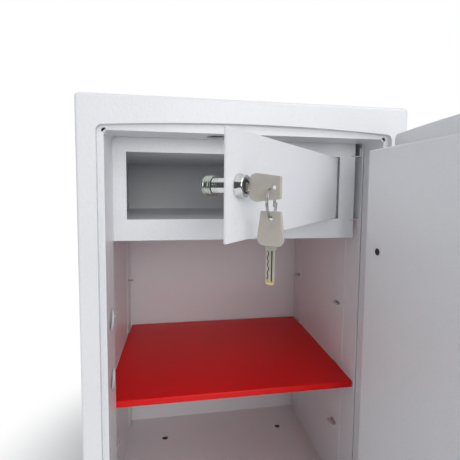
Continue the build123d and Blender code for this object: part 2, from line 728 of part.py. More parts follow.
def spare_key():
    x, y, hole_z = spare_hole()
    top = hole_z + SPARE_HOLE_DROP
    low = top - SPARE_BOW_LENGTH
    half = SPARE_BOW_WIDTH / 2
    crown, cheek, foot = (half * share for share in SPARE_BOW_SHARES)
    corners = [(-crown, top), (crown, top), (cheek, top - SPARE_CHEEK), (half, low + SPARE_FOOT),
               (foot, low), (-foot, low), (-half, low + SPARE_FOOT), (-cheek, top - SPARE_CHEEK)]
    face = fillet(make_face(Polyline(corners, close=True)).vertices(), SPARE_ROUND)
    side = Plane(origin=(x - KEY_BOW / 2, y, 0), x_dir=(0, 1, 0), z_dir=(1, 0, 0)) * face
    bow = extrude(side, amount=KEY_BOW)
    bow = chamfer(bow.edges().group_by(Axis.X)[0] + bow.edges().group_by(Axis.X)[-1], BOW_EDGE)
    bow -= rod_x(KEY_HOLE, (x - KEY_BOW, x + KEY_BOW), y, hole_z)
    wide = KEY_BLADE_HEIGHT / 2
    end = low - KEY_BLADE_LENGTH
    nose = wide - BLADE_NOSE
    outline = [(-wide, low + CUT), (wide, low + CUT), (wide, end + BLADE_NOSE), (nose, end),
               (-nose, end), (-wide, end + BLADE_NOSE)]
    strip = Plane(origin=(x - KEY_BLADE / 2, y, 0), x_dir=(0, 1, 0), z_dir=(1, 0, 0))
    blade = extrude(strip * make_face(Polyline(outline, close=True)), amount=KEY_BLADE)
    return bow + blade


def door_plate():
    plate = front_prism(arched(-DOOR_GAP), (PLATE_FRONT_Y, PLATE_BACK_Y))
    deep = (PLATE_FRONT_Y - CUT, PLATE_BACK_Y + CUT)
    plate -= rod_y(SPINDLE + SPINDLE_CLEARANCE, END_BOLT_X, deep, MID_Z)
    return plate - keyhole(deep)


def keyhole(y):
    hole = rod_y(KEYHOLE_RADIUS, LOCK_X, y, MID_Z)
    half = KEYHOLE_SLOT / 2
    return hole + block((LOCK_X - half, LOCK_X + half), y, (MID_Z - KEYHOLE_DROP, MID_Z))


def door_pan():
    """Folded cover over the bolt work, with bolt holes in three walls."""
    high = PAN_HALF_HEIGHT
    box = block((-PAN_HALF, PAN_HALF), (PLATE_BACK_Y, PAN_FACE_Y), (MID_Z - high, MID_Z + high))
    box = fillet(box.edges().filter_by(Axis.Y), PAN_FOLD)
    box = fillet(box.faces().sort_by(Axis.Y)[-1].edges(), PAN_FOLD)
    inner = (PAN_HALF - PAN_SHEET, high - PAN_SHEET)
    box -= block((-inner[0], inner[0]), (PLATE_BACK_Y - CUT, PAN_FACE_Y - PAN_SHEET),
                 (MID_Z - inner[1], MID_Z + inner[1]))
    hole = BOLT_RADIUS + BOLT_WALL_CLEARANCE
    box -= rod_z(hole, END_BOLT_X, BOLT_Y, (0, HEIGHT))
    for z in BOLT_ZS:
        box -= rod_x(hole, (-WIDTH / 2, 0), BOLT_Y, z)
    for x, z in cover_screw_places():
        box -= rod_y(COVER_SCREW_HOLE, x, (PAN_FACE_Y - 2 * PAN_SHEET, PAN_FACE_Y + CUT), z)
    return box


def cover_screw_places():
    for x in (COVER_SCREW_INSET - PAN_HALF, PAN_HALF - COVER_SCREW_INSET):
        for z in (MID_Z - COVER_SCREW_RISE, MID_Z + COVER_SCREW_RISE):
            yield x, z


def cover_posts():
    inside = PAN_FACE_Y - PAN_SHEET
    posts = []
    for x, z in cover_screw_places():
        post = rod_y(POST_RADIUS, x, (PLATE_BACK_Y, inside), z)
        posts.append(post - rod_y(COVER_SCREW_HOLE, x, (inside - POST_BORE, inside + CUT), z))
    return posts


def cover_screws():
    screws = []
    for x, z in cover_screw_places():
        shank = rod_y(COVER_SCREW_HOLE, x, (PAN_FACE_Y - COVER_SCREW_LENGTH, PAN_FACE_Y), z)
        head = [(COVER_SCREW_RADIUS, PAN_FACE_Y), (COVER_SCREW_RADIUS, PAN_FACE_Y + COVER_SCREW_RIM),
                (COVER_SCREW_CROWN, PAN_FACE_Y + COVER_SCREW_HEAD)]
        screws.append(shank + turned_y(head, x, z))
    return screws


def knuckle(low, high):
    tube = rod_z(KNUCKLE_RADIUS, HINGE_X, HINGE_Y, (low, high))
    return tube - rod_z(HINGE_PIN + HINGE_PIN_CLEARANCE, HINGE_X, HINGE_Y, (low - CUT, high + CUT))


def frame_knuckles():
    """Lower halves, welded to the stile by a pad."""
    pieces = []
    for z in HINGE_ZS:
        low, high = z - KNUCKLE_LENGTH, z
        pad = block((HINGE_X - LINK_BITE, HINGE_X + PAD_REACH), (HINGE_Y, FRONT_Y), (low, high))
        pieces.append(knuckle(low, high) + pad - rod_z(HINGE_PIN + HINGE_PIN_CLEARANCE, HINGE_X,
                                                       HINGE_Y, (low - CUT, high + CUT)))
    return pieces


def door_knuckles():
    """Upper halves, on leaves welded to the door plate's front."""
    pieces = []
    for z in HINGE_ZS:
        low, high = z + KNUCKLE_GAP, z + KNUCKLE_LENGTH
        leaf = block((PLATE_HALF - LEAF_WIDTH, PLATE_HALF), (PLATE_FRONT_Y - WELD_PAD, PLATE_FRONT_Y),
                     (low, high))
        link = block((PLATE_HALF - LINK_REACH, HINGE_X), (HINGE_Y - LINK_BITE, PLATE_FRONT_Y - LINK_GAP),
                     (low, high))
        pieces.append(knuckle(low, high) + leaf + link - rod_z(
            HINGE_PIN + HINGE_PIN_CLEARANCE, HINGE_X, HINGE_Y, (low - CUT, high + CUT)))
    return pieces


def hinge_pins():
    pins = []
    for z in HINGE_ZS:
        low, high = z - KNUCKLE_LENGTH, z + KNUCKLE_LENGTH + KNUCKLE_GAP
        pin = rod_z(HINGE_PIN, HINGE_X, HINGE_Y, (low, high))
        pins.append(pin + rod_z(HINGE_PIN_HEAD, HINGE_X, HINGE_Y, (low - HINGE_PIN_HEAD_HEIGHT, low)))
    return pins


def bar_y():
    """Front and back of the flat bars that carry the follower pins."""
    low = CAM_PLATE_Y + CAM_PLATE + CAM_PLATE_BAR_GAP
    return low, low + BAR


def side_bar():
    """Angle bar behind the two side bolts, with a tongue that reaches the cam plate."""
    heel = SIDE_BOLT_HEEL
    low, high = bar_y()
    pin_x = END_BOLT_X - SPIRAL_START
    margin = BOLT_RADIUS + BAR_MARGIN
    tall = (BOLT_ZS[0] - margin, BOLT_ZS[1] + margin)
    bar = block((heel, heel + BAR_HEEL), (low, high), tall)
    bar += block((heel, heel + UPSTAND), (low, UPSTAND_TOP_Y), tall)
    tongue = (MID_Z - BAR_TONGUE / 2, MID_Z + BAR_TONGUE / 2)
    bar += block((heel, pin_x + BAR_WIDTH / 2), (low, high), tongue)
    for z in BOLT_ZS:
        bar -= rod_x(BOLT_SCREW_RADIUS / 2, (heel - CUT, heel + UPSTAND + CUT), BOLT_Y, z)
    return bar + follower(pin_x, MID_Z)


def follower(x, z):
    """Pin that stands in a spiral slot."""
    low, high = bar_y()
    return rod_y(FOLLOWER_RADIUS, x, (CAM_PLATE_Y - FOLLOWER_PROUD, high), z)


def side_bolts():
    bolts = []
    for z in BOLT_ZS:
        bolt = rod_x(BOLT_RADIUS, (SIDE_BOLT_TIP, SIDE_BOLT_HEEL), BOLT_Y, z)
        tip = bolt.faces().sort_by(Axis.X)[0].edges()
        bore = (SIDE_BOLT_HEEL - THREAD_HOLE, SIDE_BOLT_HEEL + CUT)
        bolts.append(chamfer(tip, BOLT_CHAMFER) - rod_x(BOLT_SCREW_RADIUS / 2, bore, BOLT_Y, z))
    return bolts


def bar_screws():
    inner = SIDE_BOLT_HEEL + UPSTAND
    screws = []
    for z in BOLT_ZS:
        side = Plane(origin=(inner, BOLT_Y, z), x_dir=(0, 1, 0), z_dir=(1, 0, 0))
        head = extrude(side * RegularPolygon(BOLT_SCREW_RADIUS, 6), amount=BOLT_SCREW_HEAD)
        screws.append(head + rod_x(BOLT_SCREW_RADIUS / 2, (SIDE_BOLT_HEEL - BOLT_THREAD, inner), BOLT_Y, z))
    return screws


def end_rod():
    """Flat rod between the cam plate and the top bolt, bent up at its end."""
    heel = END_BOLT_HEEL
    low, high = bar_y()
    pin_z = MID_Z + SPIRAL_START
    half = BAR_WIDTH / 2
    across = (END_BOLT_X - half, END_BOLT_X + half)
    rod = block(across, (low, high), (pin_z - half, heel))
    rod += block((END_BOLT_X - BOLT_RADIUS, END_BOLT_X + BOLT_RADIUS), (low, UPSTAND_TOP_Y),
                 (heel - UPSTAND, heel))
    rod -= rod_z(BOLT_SCREW_RADIUS / 2, END_BOLT_X, BOLT_Y, (heel - UPSTAND - CUT, heel + CUT))
    return rod + follower(END_BOLT_X, pin_z)


def end_bolt():
    heel = END_BOLT_HEEL
    bolt = rod_z(BOLT_RADIUS, END_BOLT_X, BOLT_Y, (heel, END_BOLT_TIP))
    bolt = chamfer(bolt.faces().sort_by(Axis.Z)[-1].edges(), BOLT_CHAMFER)
    return bolt - rod_z(BOLT_SCREW_RADIUS / 2, END_BOLT_X, BOLT_Y, (heel - CUT, heel + THREAD_HOLE))


def end_screw():
    under = END_BOLT_HEEL - UPSTAND
    flat = Plane(origin=(END_BOLT_X, BOLT_Y, under), z_dir=(0, 0, 1))
    head = extrude(flat * RegularPolygon(BOLT_SCREW_RADIUS, 6), amount=-BOLT_SCREW_HEAD)
    return head + rod_z(BOLT_SCREW_RADIUS / 2, END_BOLT_X, BOLT_Y, (under, END_BOLT_HEEL + BOLT_THREAD))


def side_guide():
    """Angle bracket on the door plate that both side bolts slide through."""
    margin = BOLT_RADIUS + GUIDE_MARGIN
    tall = (BOLT_ZS[0] - margin, BOLT_ZS[1] + margin)
    top = PAN_FACE_Y - PAN_SHEET
    bracket = block((GUIDE_X, GUIDE_X + GUIDE_SHEET), (PLATE_BACK_Y, top), tall)
    bracket += block((GUIDE_X, GUIDE_X + GUIDE_FOOT), (PLATE_BACK_Y, PLATE_BACK_Y + GUIDE_SHEET), tall)
    for z in BOLT_ZS:
        bracket -= rod_x(BOLT_RADIUS + BOLT_CLEARANCE, (GUIDE_X - CUT, GUIDE_X + GUIDE_SHEET + CUT),
                         BOLT_Y, z)
    return bracket


def end_guide():
    top = PAN_FACE_Y - PAN_SHEET
    high = END_BOLT_TIP - END_GUIDE_DROP
    margin = BOLT_RADIUS + GUIDE_MARGIN
    across = (END_BOLT_X - margin, END_BOLT_X + margin)
    bracket = block(across, (PLATE_BACK_Y, top), (high - GUIDE_SHEET, high))
    bracket += block(across, (PLATE_BACK_Y, PLATE_BACK_Y + GUIDE_SHEET), (high - GUIDE_SHEET,
                                                                         high + GUIDE_FOOT))
    return bracket - rod_z(BOLT_RADIUS + BOLT_CLEARANCE, END_BOLT_X, BOLT_Y,
                           (high - GUIDE_SHEET - CUT, high + CUT))


def rod_guide():
    low, high = bar_y()
    z = MID_Z + ROD_GUIDE_RISE
    half = ROD_GUIDE_WIDTH / 2
    gap = ROD_GUIDE_CLEARANCE
    bridge = block((END_BOLT_X - half, END_BOLT_X + half),
                   (PLATE_BACK_Y, high + gap + ROD_GUIDE_WALL), (z, z + ROD_GUIDE))
    return bridge - block((END_BOLT_X - BAR_WIDTH / 2 - gap, END_BOLT_X + BAR_WIDTH / 2 + gap),
                          (low - gap, high + gap), (z - CUT, z + ROD_GUIDE + CUT))


def spiral_slot(start):
    """Slot whose radius grows evenly through a quarter turn; start is its pin's bearing."""
    step = HANDLE_TURN / (2 * SPIRAL_ARCS)
    points = []
    for index in range(2 * SPIRAL_ARCS + 1):
        radius = SPIRAL_START + BOLT_TRAVEL * index / (2 * SPIRAL_ARCS)
        bearing = math.radians(start - step * index)
        points.append((radius * math.cos(bearing), radius * math.sin(bearing)))
    slot = Sketch()
    for first in range(0, 2 * SPIRAL_ARCS, 2):
        slot += SlotArc(ThreePointArc(*points[first:first + 3]), SLOT_WIDTH)
    return slot


def cam_plate():
    """Round plate with three spiral slots and two rim notches for the lock bolt."""
    disc = Circle(CAM_PLATE_RADIUS)
    for start in (180, 90, -90):
        disc -= spiral_slot(start)
    notch_depth = LOCK_BOLT_THROW - LOCK_BOLT_REST_GAP + NOTCH_CLEARANCE
    notch = Pos(CAM_PLATE_RADIUS, 0) * Rectangle(2 * notch_depth, LOCK_BOLT_HEIGHT + 2 * NOTCH_SIDE)
    disc -= notch
    disc -= Rot(0, 0, -90) * notch
    plate = front_prism(Pos(END_BOLT_X, MID_Z) * disc, (CAM_PLATE_Y, CAM_PLATE_Y + CAM_PLATE))
    hub = (PLATE_BACK_Y + CAM_PLATE_BAR_GAP, CAM_PLATE_Y + CAM_PLATE)
    plate += rod_y(CAM_HUB_RADIUS, END_BOLT_X, hub, MID_Z)
    return plate - rod_y(SPINDLE, END_BOLT_X, (PLATE_BACK_Y - CUT, 0), MID_Z)


def spindle():
    end = CAM_PLATE_Y + CAM_PLATE
    return rod_y(SPINDLE, END_BOLT_X, (PLATE_FRONT_Y - ROSE_HEIGHT - SPINDLE_IN_HANDLE, end), MID_Z)


def handle_rose():
    y = PLATE_FRONT_Y
    profile = [(ROSE_FACE, y - ROSE_HEIGHT), (ROSE_SHOULDER, y - ROSE_HEIGHT / 2), (ROSE_RADIUS, y)]
    rose = turned_y(profile, END_BOLT_X, MID_Z)
    return rose - rod_y(SPINDLE + SPINDLE_CLEARANCE, END_BOLT_X, (y - ROSE_HEIGHT - CUT, y + CUT), MID_Z)


def handle():
    """Turned neck and hub with a tapered cross grip."""
    y = PLATE_FRONT_Y - ROSE_HEIGHT - HANDLE_GAP
    out = PLATE_FRONT_Y - HANDLE_OUT
    ease = HANDLE_EASE
    waist = out + GRIP_DEPTH + HANDLE_HUB - HANDLE_NECK
    profile = [(HANDLE_HUB - ease, out), (HANDLE_HUB, out + ease), (HANDLE_HUB, out + GRIP_DEPTH),
               (HANDLE_NECK, waist), (HANDLE_NECK, y - ease), (HANDLE_NECK + ease, y)]
    body = turned_y(profile, END_BOLT_X, MID_Z)
    half = GRIP_LENGTH / 2
    wide, end = GRIP_WIDTH / 2, GRIP_END_WIDTH / 2
    corners = [(-wide, 0), (-end, half), (end, half), (wide, 0), (end, -half), (-end, -half)]
    grip = fillet(make_face(Polyline(corners, close=True)).vertices().group_by(Axis.Y)[0], GRIP_ROUND)
    grip = fillet(grip.vertices().group_by(Axis.Y)[-1], GRIP_ROUND)
    bar = front_prism(Pos(END_BOLT_X, MID_Z) * grip, (out + GRIP_SET, out + GRIP_DEPTH))
    bar = fillet(bar.faces().sort_by(Axis.Y)[0].edges(), GRIP_EDGE)
    seat = PLATE_FRONT_Y - ROSE_HEIGHT - SPINDLE_IN_HANDLE
    return body + bar - rod_y(SPINDLE, END_BOLT_X, (seat, 0), MID_Z)


def lock_case():
    """Folded case with a window for the lock bolt and a keyhole."""
    left, right = LOCK_CASE_LEFT, LOCK_CASE_LEFT + LOCK_CASE_WIDTH
    half = LOCK_CASE_HEIGHT / 2
    y = (PLATE_BACK_Y, PLATE_BACK_Y + LOCK_CASE_DEPTH)
    box = block((left, right), y, (MID_Z - half, MID_Z + half))
    sheet = LOCK_CASE_SHEET
    box -= block((left + sheet, right - sheet), (y[0] + sheet, y[1] - sheet),
                 (MID_Z - half + sheet, MID_Z + half - sheet))
    play = LOCK_BOLT_CLEARANCE
    bolt = lock_bolt_box()
    box -= block((left - CUT, left + sheet + CUT), (bolt[1][0] - play, bolt[1][1] + play),
                 (bolt[2][0] - play, bolt[2][1] + play))
    return box - keyhole((y[0] - CUT, y[0] + sheet + CUT))


def lock_bolt_box():
    tip = END_BOLT_X + CAM_PLATE_RADIUS + LOCK_BOLT_REST_GAP
    middle = CAM_PLATE_Y + CAM_PLATE / 2
    middle += LOCK_BOLT_LIFT
    y = (middle - LOCK_BOLT_THICK / 2, middle + LOCK_BOLT_THICK / 2)
    return (tip, tip + LOCK_BOLT_LENGTH), y, (MID_Z - LOCK_BOLT_HEIGHT / 2, MID_Z + LOCK_BOLT_HEIGHT / 2)


def lock_bolt():
    x, y, z = lock_bolt_box()
    body = block(x, y, z)
    body = chamfer(body.faces().sort_by(Axis.X)[0].edges().filter_by(Axis.Y), LOCK_BOLT_EDGE)
    return body - keyhole_sweep(y)


def keyhole_sweep(y):
    """The space in the lock bolt that the key turns in."""
    return rod_y(KEYHOLE_RADIUS + KEY_SWEEP, LOCK_X, (y[0] - CUT, y[1] + CUT), MID_Z)


def keyhole_plate():
    shape = Pos(LOCK_X, MID_Z) * SlotOverall(ESCUTCHEON_HEIGHT, ESCUTCHEON_WIDTH, rotation=90)
    plate = front_prism(shape, (PLATE_FRONT_Y - ESCUTCHEON_SHEET, PLATE_FRONT_Y))
    return plate - keyhole((PLATE_FRONT_Y - ESCUTCHEON_SHEET - CUT, PLATE_FRONT_Y + CUT))


def swing_pivot():
    return LOCK_X, MID_Z + (ESCUTCHEON_HEIGHT - ESCUTCHEON_WIDTH) / 2 + SWING_RISE


def swing_cover():
    """Drop-shaped cover that hangs over the keyhole from its pivot."""
    x, z = swing_pivot()
    back = PLATE_FRONT_Y - ESCUTCHEON_SHEET - SWING_COVER_GAP
    drop = z - MID_Z + SWING_DROP
    small, large = SWING_EYE, SWING_COVER_WIDTH / 2
    shape = Pos(x, z) * Circle(small) + Pos(x, z - drop) * Circle(large)
    body = [(-small, 0), (small, 0), (large, -drop), (-large, -drop)]
    shape += Pos(x, z) * make_face(Polyline(body, close=True))
    cover = front_prism(shape, (back - SWING_COVER_SHEET, back))
    return cover - rod_y(SWING_PIN + PIVOT_CLEARANCE, x, (back - SWING_COVER_SHEET - CUT, back + CUT), z)


def swing_pin():
    x, z = swing_pivot()
    face = PLATE_FRONT_Y - ESCUTCHEON_SHEET
    front = face - SWING_COVER_GAP - SWING_COVER_SHEET - SWING_COVER_GAP
    pin = rod_y(SWING_PIN, x, (front, face), z)
    return pin + rod_y(SWING_PIN_HEAD, x, (front - SWING_PIN_HEAD_HEIGHT, front), z)


def opened(shapes, x, y, angle):
    """Turns what was drawn shut about a door's upright axis."""
    pose = Pos(x, y, 0) * Rot(0, 0, angle) * Pos(-x, -y, 0)
    return [pose * shape for shape in shapes]


def write(name, shapes):
    shapes = shapes if isinstance(shapes, list) else [shapes]
    solids = [solid for shape in shapes for solid in shape.solids()]
    part = Compound(children=solids) if len(solids) > 1 else solids[0]
    part.label = name
    export_step(part, f"parts/{name}.step")


CABINET = {
    "outer_shell": outer_shell,
    "back_panel": back_panel,
    "anchor_sleeves": anchor_sleeves,
    "door_frame": door_frame,
    "liner": liner,
    "shelf_rails": shelf_rails,
    "shelf": shelf,
    "locker_fascia": locker_fascia,
    "locker_floor": lambda: locker_sheet(locker_sheets()[0], -1),
    "locker_ceiling": lambda: locker_sheet(locker_sheets()[1], 1),
    "frame_knuckles": frame_knuckles,
    "hinge_pins": hinge_pins,
}
LOCKER_DOOR = {
    "locker_door": locker_door,
    "locker_pins": lambda: [locker_pin(), locker_mirrored(locker_pin())],
    "lock_barrel": lock_barrel,
    "lock_nut": lock_nut,
    "lock_plug": lock_plug,
    "lock_cam": lock_cam,
    "cam_screw": cam_screw,
    "inserted_key": inserted_key,
    "split_ring": split_ring,
    "spare_key": spare_key,
}
MAIN_DOOR = {
    "door_plate": door_plate,
    "door_pan": door_pan,
    "cover_posts": cover_posts,
    "cover_screws": cover_screws,
    "door_knuckles": door_knuckles,
    "side_guide": side_guide,
    "end_guides": lambda: [end_guide(), mirrored(end_guide())],
    "rod_guides": lambda: [rod_guide(), mirrored(rod_guide())],
    "side_bar": side_bar,
    "side_bolts": side_bolts,
    "bar_screws": bar_screws,
    "top_rod": end_rod,
    "top_bolt": end_bolt,
    "top_screw": end_screw,
    "bottom_rod": lambda: mirrored(end_rod()),
    "bottom_bolt": lambda: mirrored(end_bolt()),
    "bottom_screw": lambda: mirrored(end_screw()),
    "cam_plate": cam_plate,
    "spindle": spindle,
    "handle_rose": handle_rose,
    "handle": handle,
    "lock_case": lock_case,
    "lock_bolt": lock_bolt,
    "keyhole_plate": keyhole_plate,
    "swing_cover": swing_cover,
    "swing_pin": swing_pin,
}


def listed(made):
    return made if isinstance(made, list) else [made]


for name, make in CABINET.items():
    write(name, make())
for name, make in LOCKER_DOOR.items():
    write(name, opened(listed(make()), *locker_pivot(), LOCKER_OPEN))
for name, make in MAIN_DOOR.items():
    write(name, opened(listed(make()), HINGE_X, HINGE_Y, DOOR_OPEN))
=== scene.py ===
import json
import math

import bmesh
import bpy
from mathutils import Matrix, Vector


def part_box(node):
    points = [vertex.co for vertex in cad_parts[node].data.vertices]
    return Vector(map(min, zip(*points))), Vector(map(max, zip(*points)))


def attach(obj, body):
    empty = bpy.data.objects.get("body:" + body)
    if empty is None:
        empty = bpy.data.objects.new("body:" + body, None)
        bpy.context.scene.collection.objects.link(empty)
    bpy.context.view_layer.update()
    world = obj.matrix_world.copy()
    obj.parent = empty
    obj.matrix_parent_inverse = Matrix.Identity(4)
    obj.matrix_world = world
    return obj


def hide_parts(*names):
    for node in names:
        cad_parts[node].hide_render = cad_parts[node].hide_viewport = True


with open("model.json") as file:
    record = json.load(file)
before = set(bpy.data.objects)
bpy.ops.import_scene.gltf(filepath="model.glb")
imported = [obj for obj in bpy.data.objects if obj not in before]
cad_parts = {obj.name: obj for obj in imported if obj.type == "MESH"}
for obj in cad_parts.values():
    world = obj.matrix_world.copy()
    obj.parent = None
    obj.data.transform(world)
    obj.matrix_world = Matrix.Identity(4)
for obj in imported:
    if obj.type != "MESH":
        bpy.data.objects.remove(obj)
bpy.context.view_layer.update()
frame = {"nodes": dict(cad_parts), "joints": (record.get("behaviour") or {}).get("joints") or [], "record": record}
nodes = frame["nodes"]
joints = {joint["name"]: joint for joint in frame["joints"]}
mm = 0.001
print("frame loaded,", len(nodes), "nodes")


cameraLook = {
    "place": (-0.099326, -0.637422, 0.574258),
    "yaw": 9.214,  # degrees to the right of straight ahead
    "pitch": 4.247,  # degrees down
    "roll": 0.556,
    "lens": 26.575,  # millimetres, as the sensor's width
    "sensor": 36,
    "nearest": 0.01,
    "shift": (-0.00753, -0.0363),
}

studioLook = {
    "floorColour": (0.86, 0.86, 0.865, 1),
    "floorRough": 0.7,
    "floorReach": 1.7,
    "fadeFrom": 0.30,  # metres from the frame's origin, where the floor starts to turn white
    "fadeTo": 0.56,  # and where it is as white as the backdrop
    "airColour": (0.95, 0.975, 1.0, 1),
    "airStrength": 0.62,
    "backdropWhite": (1, 1, 1, 1),
    "darkStrip": (0.10, 0.105, 0.11, 1),  # the unlit side of the studio, seen only in reflections
    "stripLow": (-0.46, -0.36),
    "stripHigh": (0.52, 0.70),
}

lampLook = {
    "keyLamp": {"place": (0.95, -1.65, 1.95), "aim": (0.0, -0.1, 0.42),
                "size": (1.3, 1.1), "power": 13.0},
    "frontLamp": {"place": (0.3, -2.4, 1.0), "aim": (0.0, -0.1, 0.36),
                  "size": (1.0, 0.8), "power": 14.0},
}


class Sig:
    # one socket of a node tree, so that shader maths reads as maths
    def __init__(self, work, socket):
        self.work = work
        self.socket = socket

    def calc(self, operation, *values):
        return self.work.node("ShaderNodeMath", {"operation": operation},
                              dict(enumerate(values)))

    def __add__(self, other):
        return self.calc("ADD", self, other)

    def __radd__(self, other):
        return self.calc("ADD", other, self)

    def __sub__(self, other):
        return self.calc("SUBTRACT", self, other)

    def __rsub__(self, other):
        return self.calc("SUBTRACT", other, self)

    def __mul__(self, other):
        return self.calc("MULTIPLY", self, other)

    def __rmul__(self, other):
        return self.calc("MULTIPLY", other, self)

    def between(self, low, high):
        # 0 below low, 1 above high, smooth on the way
        return self.work.node("ShaderNodeMapRange", {"interpolation_type": "SMOOTHSTEP"},
                              {"Value": self, "From Min": low, "From Max": high})


class NodeWork:
    # adds nodes to one tree
    def __init__(self, tree):
        self.tree = tree
        tree.nodes.clear()

    def node(self, kind, settings=None, sockets=None, out=0):
        made = self.tree.nodes.new(kind)
        for key, value in (settings or {}).items():
            setattr(made, key, value)
        for key, value in (sockets or {}).items():
            if isinstance(value, Sig):
                self.tree.links.new(value.socket, made.inputs[key])
            else:
                made.inputs[key].default_value = value
        return Sig(self, made.outputs[out]) if len(made.outputs) else made

    def mix(self, factor, first, second):
        return self.node("ShaderNodeMix", {"data_type": "RGBA"},
                         {0: factor, 6: first, 7: second}, out=2)

    def noise(self, place, scale, detail=2.0, stretch=None):
        if stretch:
            place = self.node("ShaderNodeMapping", None, {"Vector": place, "Scale": stretch})
        return self.node("ShaderNodeTexNoise", None,
                         {"Vector": place, "Scale": scale, "Detail": detail})

    def length(self, vector):
        return self.node("ShaderNodeVectorMath", {"operation": "LENGTH"}, {0: vector}, out=1)

    def seenRays(self):
        # 1 for rays that the camera sends itself, by a mirror or through glass
        return [self.node("ShaderNodeLightPath", out=name)
                for name in ("Is Camera Ray", "Is Glossy Ray", "Is Transmission Ray")]


def newMaterial(name):
    material = bpy.data.materials.new(name)
    material.use_nodes = True
    return material, NodeWork(material.node_tree)


def addCamera():
    look = cameraLook
    yaw, pitch, roll = (math.radians(look[key]) for key in ("yaw", "pitch", "roll"))
    right = Vector((math.cos(yaw), -math.sin(yaw), 0))
    ahead = Vector((math.sin(yaw), math.cos(yaw), 0))
    up = Vector((0, 0, 1))
    gaze = ahead * math.cos(pitch) - up * math.sin(pitch)
    crown = up * math.cos(pitch) + ahead * math.sin(pitch)
    side = right * math.cos(roll) + crown * math.sin(roll)
    head = crown * math.cos(roll) - right * math.sin(roll)
    data = bpy.data.cameras.new("photoCamera")
    data.lens = look["lens"]
    data.sensor_width = look["sensor"]
    data.shift_x, data.shift_y = look["shift"]
    data.clip_start = look["nearest"]
    camera = bpy.data.objects.new("photoCamera", data)
    turn = Matrix((side, head, -gaze)).transposed().to_4x4()
    camera.matrix_world = Matrix.Translation(look["place"]) @ turn
    bpy.context.scene.collection.objects.link(camera)
    bpy.context.scene.camera = camera


def addLamps():
    for name, look in lampLook.items():
        data = bpy.data.lights.new(name, "AREA")
        data.shape = "RECTANGLE"
        data.size, data.size_y = look["size"]
        data.energy = look["power"]
        lamp = bpy.data.objects.new(name, data)
        lamp.location = look["place"]
        gaze = Vector(look["aim"]) - Vector(look["place"])
        lamp.rotation_euler = gaze.to_track_quat("-Z", "Y").to_euler()
        bpy.context.scene.collection.objects.link(lamp)


def addAir():
    world = bpy.data.worlds.new("studioAir")
    world.use_nodes = True
    bpy.context.scene.world = world
    work = NodeWork(world.node_tree)
    straight, mirrored, through = work.seenRays()
    direct = straight + mirrored + through
    spot = work.node("ShaderNodeTexCoord", out="Generated")
    way = work.node("ShaderNodeSeparateXYZ", None, {0: spot}, out=2)
    strip = way.between(*studioLook["stripLow"]) * (1 - way.between(*studioLook["stripHigh"]))
    shown = work.mix(mirrored * strip, studioLook["backdropWhite"], studioLook["darkStrip"])
    colour = work.mix(direct, studioLook["airColour"], shown)
    strength = studioLook["airStrength"] + direct * (1 - studioLook["airStrength"])
    back = work.node("ShaderNodeBackground", None, {"Color": colour, "Strength": strength})
    work.node("ShaderNodeOutputWorld", None, {"Surface": back})


def addFloor():
    look = studioLook
    material, work = newMaterial("studioFloor")
    place = work.node("ShaderNodeTexCoord", out="Object")
    fade = work.length(place).between(look["fadeFrom"], look["fadeTo"])
    board = work.node("ShaderNodeBsdfPrincipled", None, {
        "Base Color": look["floorColour"], "Roughness": look["floorRough"]})
    glow = work.node("ShaderNodeEmission", None, {"Color": look["backdropWhite"], "Strength": 1.0})
    straight, mirrored, through = work.seenRays()
    surface = work.node("ShaderNodeMixShader", None, {
        0: fade * (straight + mirrored + through), 1: board, 2: glow})
    work.node("ShaderNodeOutputMaterial", None, {"Surface": surface})
    mesh = bpy.data.meshes.new("studioFloor")
    reach = look["floorReach"]
    mesh.from_pydata([(-reach, -reach, 0), (reach, -reach, 0), (reach, reach, 0), (-reach, reach, 0)],
                     [], [(0, 1, 2, 3)])
    mesh.materials.append(material)
    floor = bpy.data.objects.new("studioFloor", mesh)
    bpy.context.scene.collection.objects.link(floor)


bpy.context.scene.view_settings.view_transform = "Standard"
addCamera()
addLamps()
addAir()
addFloor()
print("studio ready")


edgeSamples = 4  # rays that round an edge in shading


def powderCoat(name, look):
    # baked-on powder: a fine grain, a slower orange peel and a faint drift of tone
    material, work = newMaterial(name)
    place = work.node("ShaderNodeTexCoord", out="Object")
    grain = work.noise(place, look["grainScale"], look["grainDetail"])
    peel = work.noise(place, look["peelScale"], look["peelDetail"])
    drift = work.noise(place, look["driftScale"])
    tone = (drift - 0.5) * look["driftTone"] + (grain - 0.5) * look["grainTone"] + 0.5
    colour = work.mix(tone, look["low"], look["high"])
    rough = look["rough"] + (peel - 0.5) * look["roughSpread"]
    soft = work.node("ShaderNodeBevel", {"samples": edgeSamples}, {"Radius": look["edge"]})
    bumped = work.node("ShaderNodeBump", None, {
        "Strength": look["bump"], "Distance": look["depth"],
        "Height": grain * look["grainShare"] + peel * look["peelShare"], "Normal": soft})
    surface = work.node("ShaderNodeBsdfPrincipled", None, {
        "Base Color": colour, "Roughness": rough, "Normal": bumped,
        "Specular IOR Level": look["gloss"]})
    work.node("ShaderNodeOutputMaterial", None, {"Surface": surface})
    return material


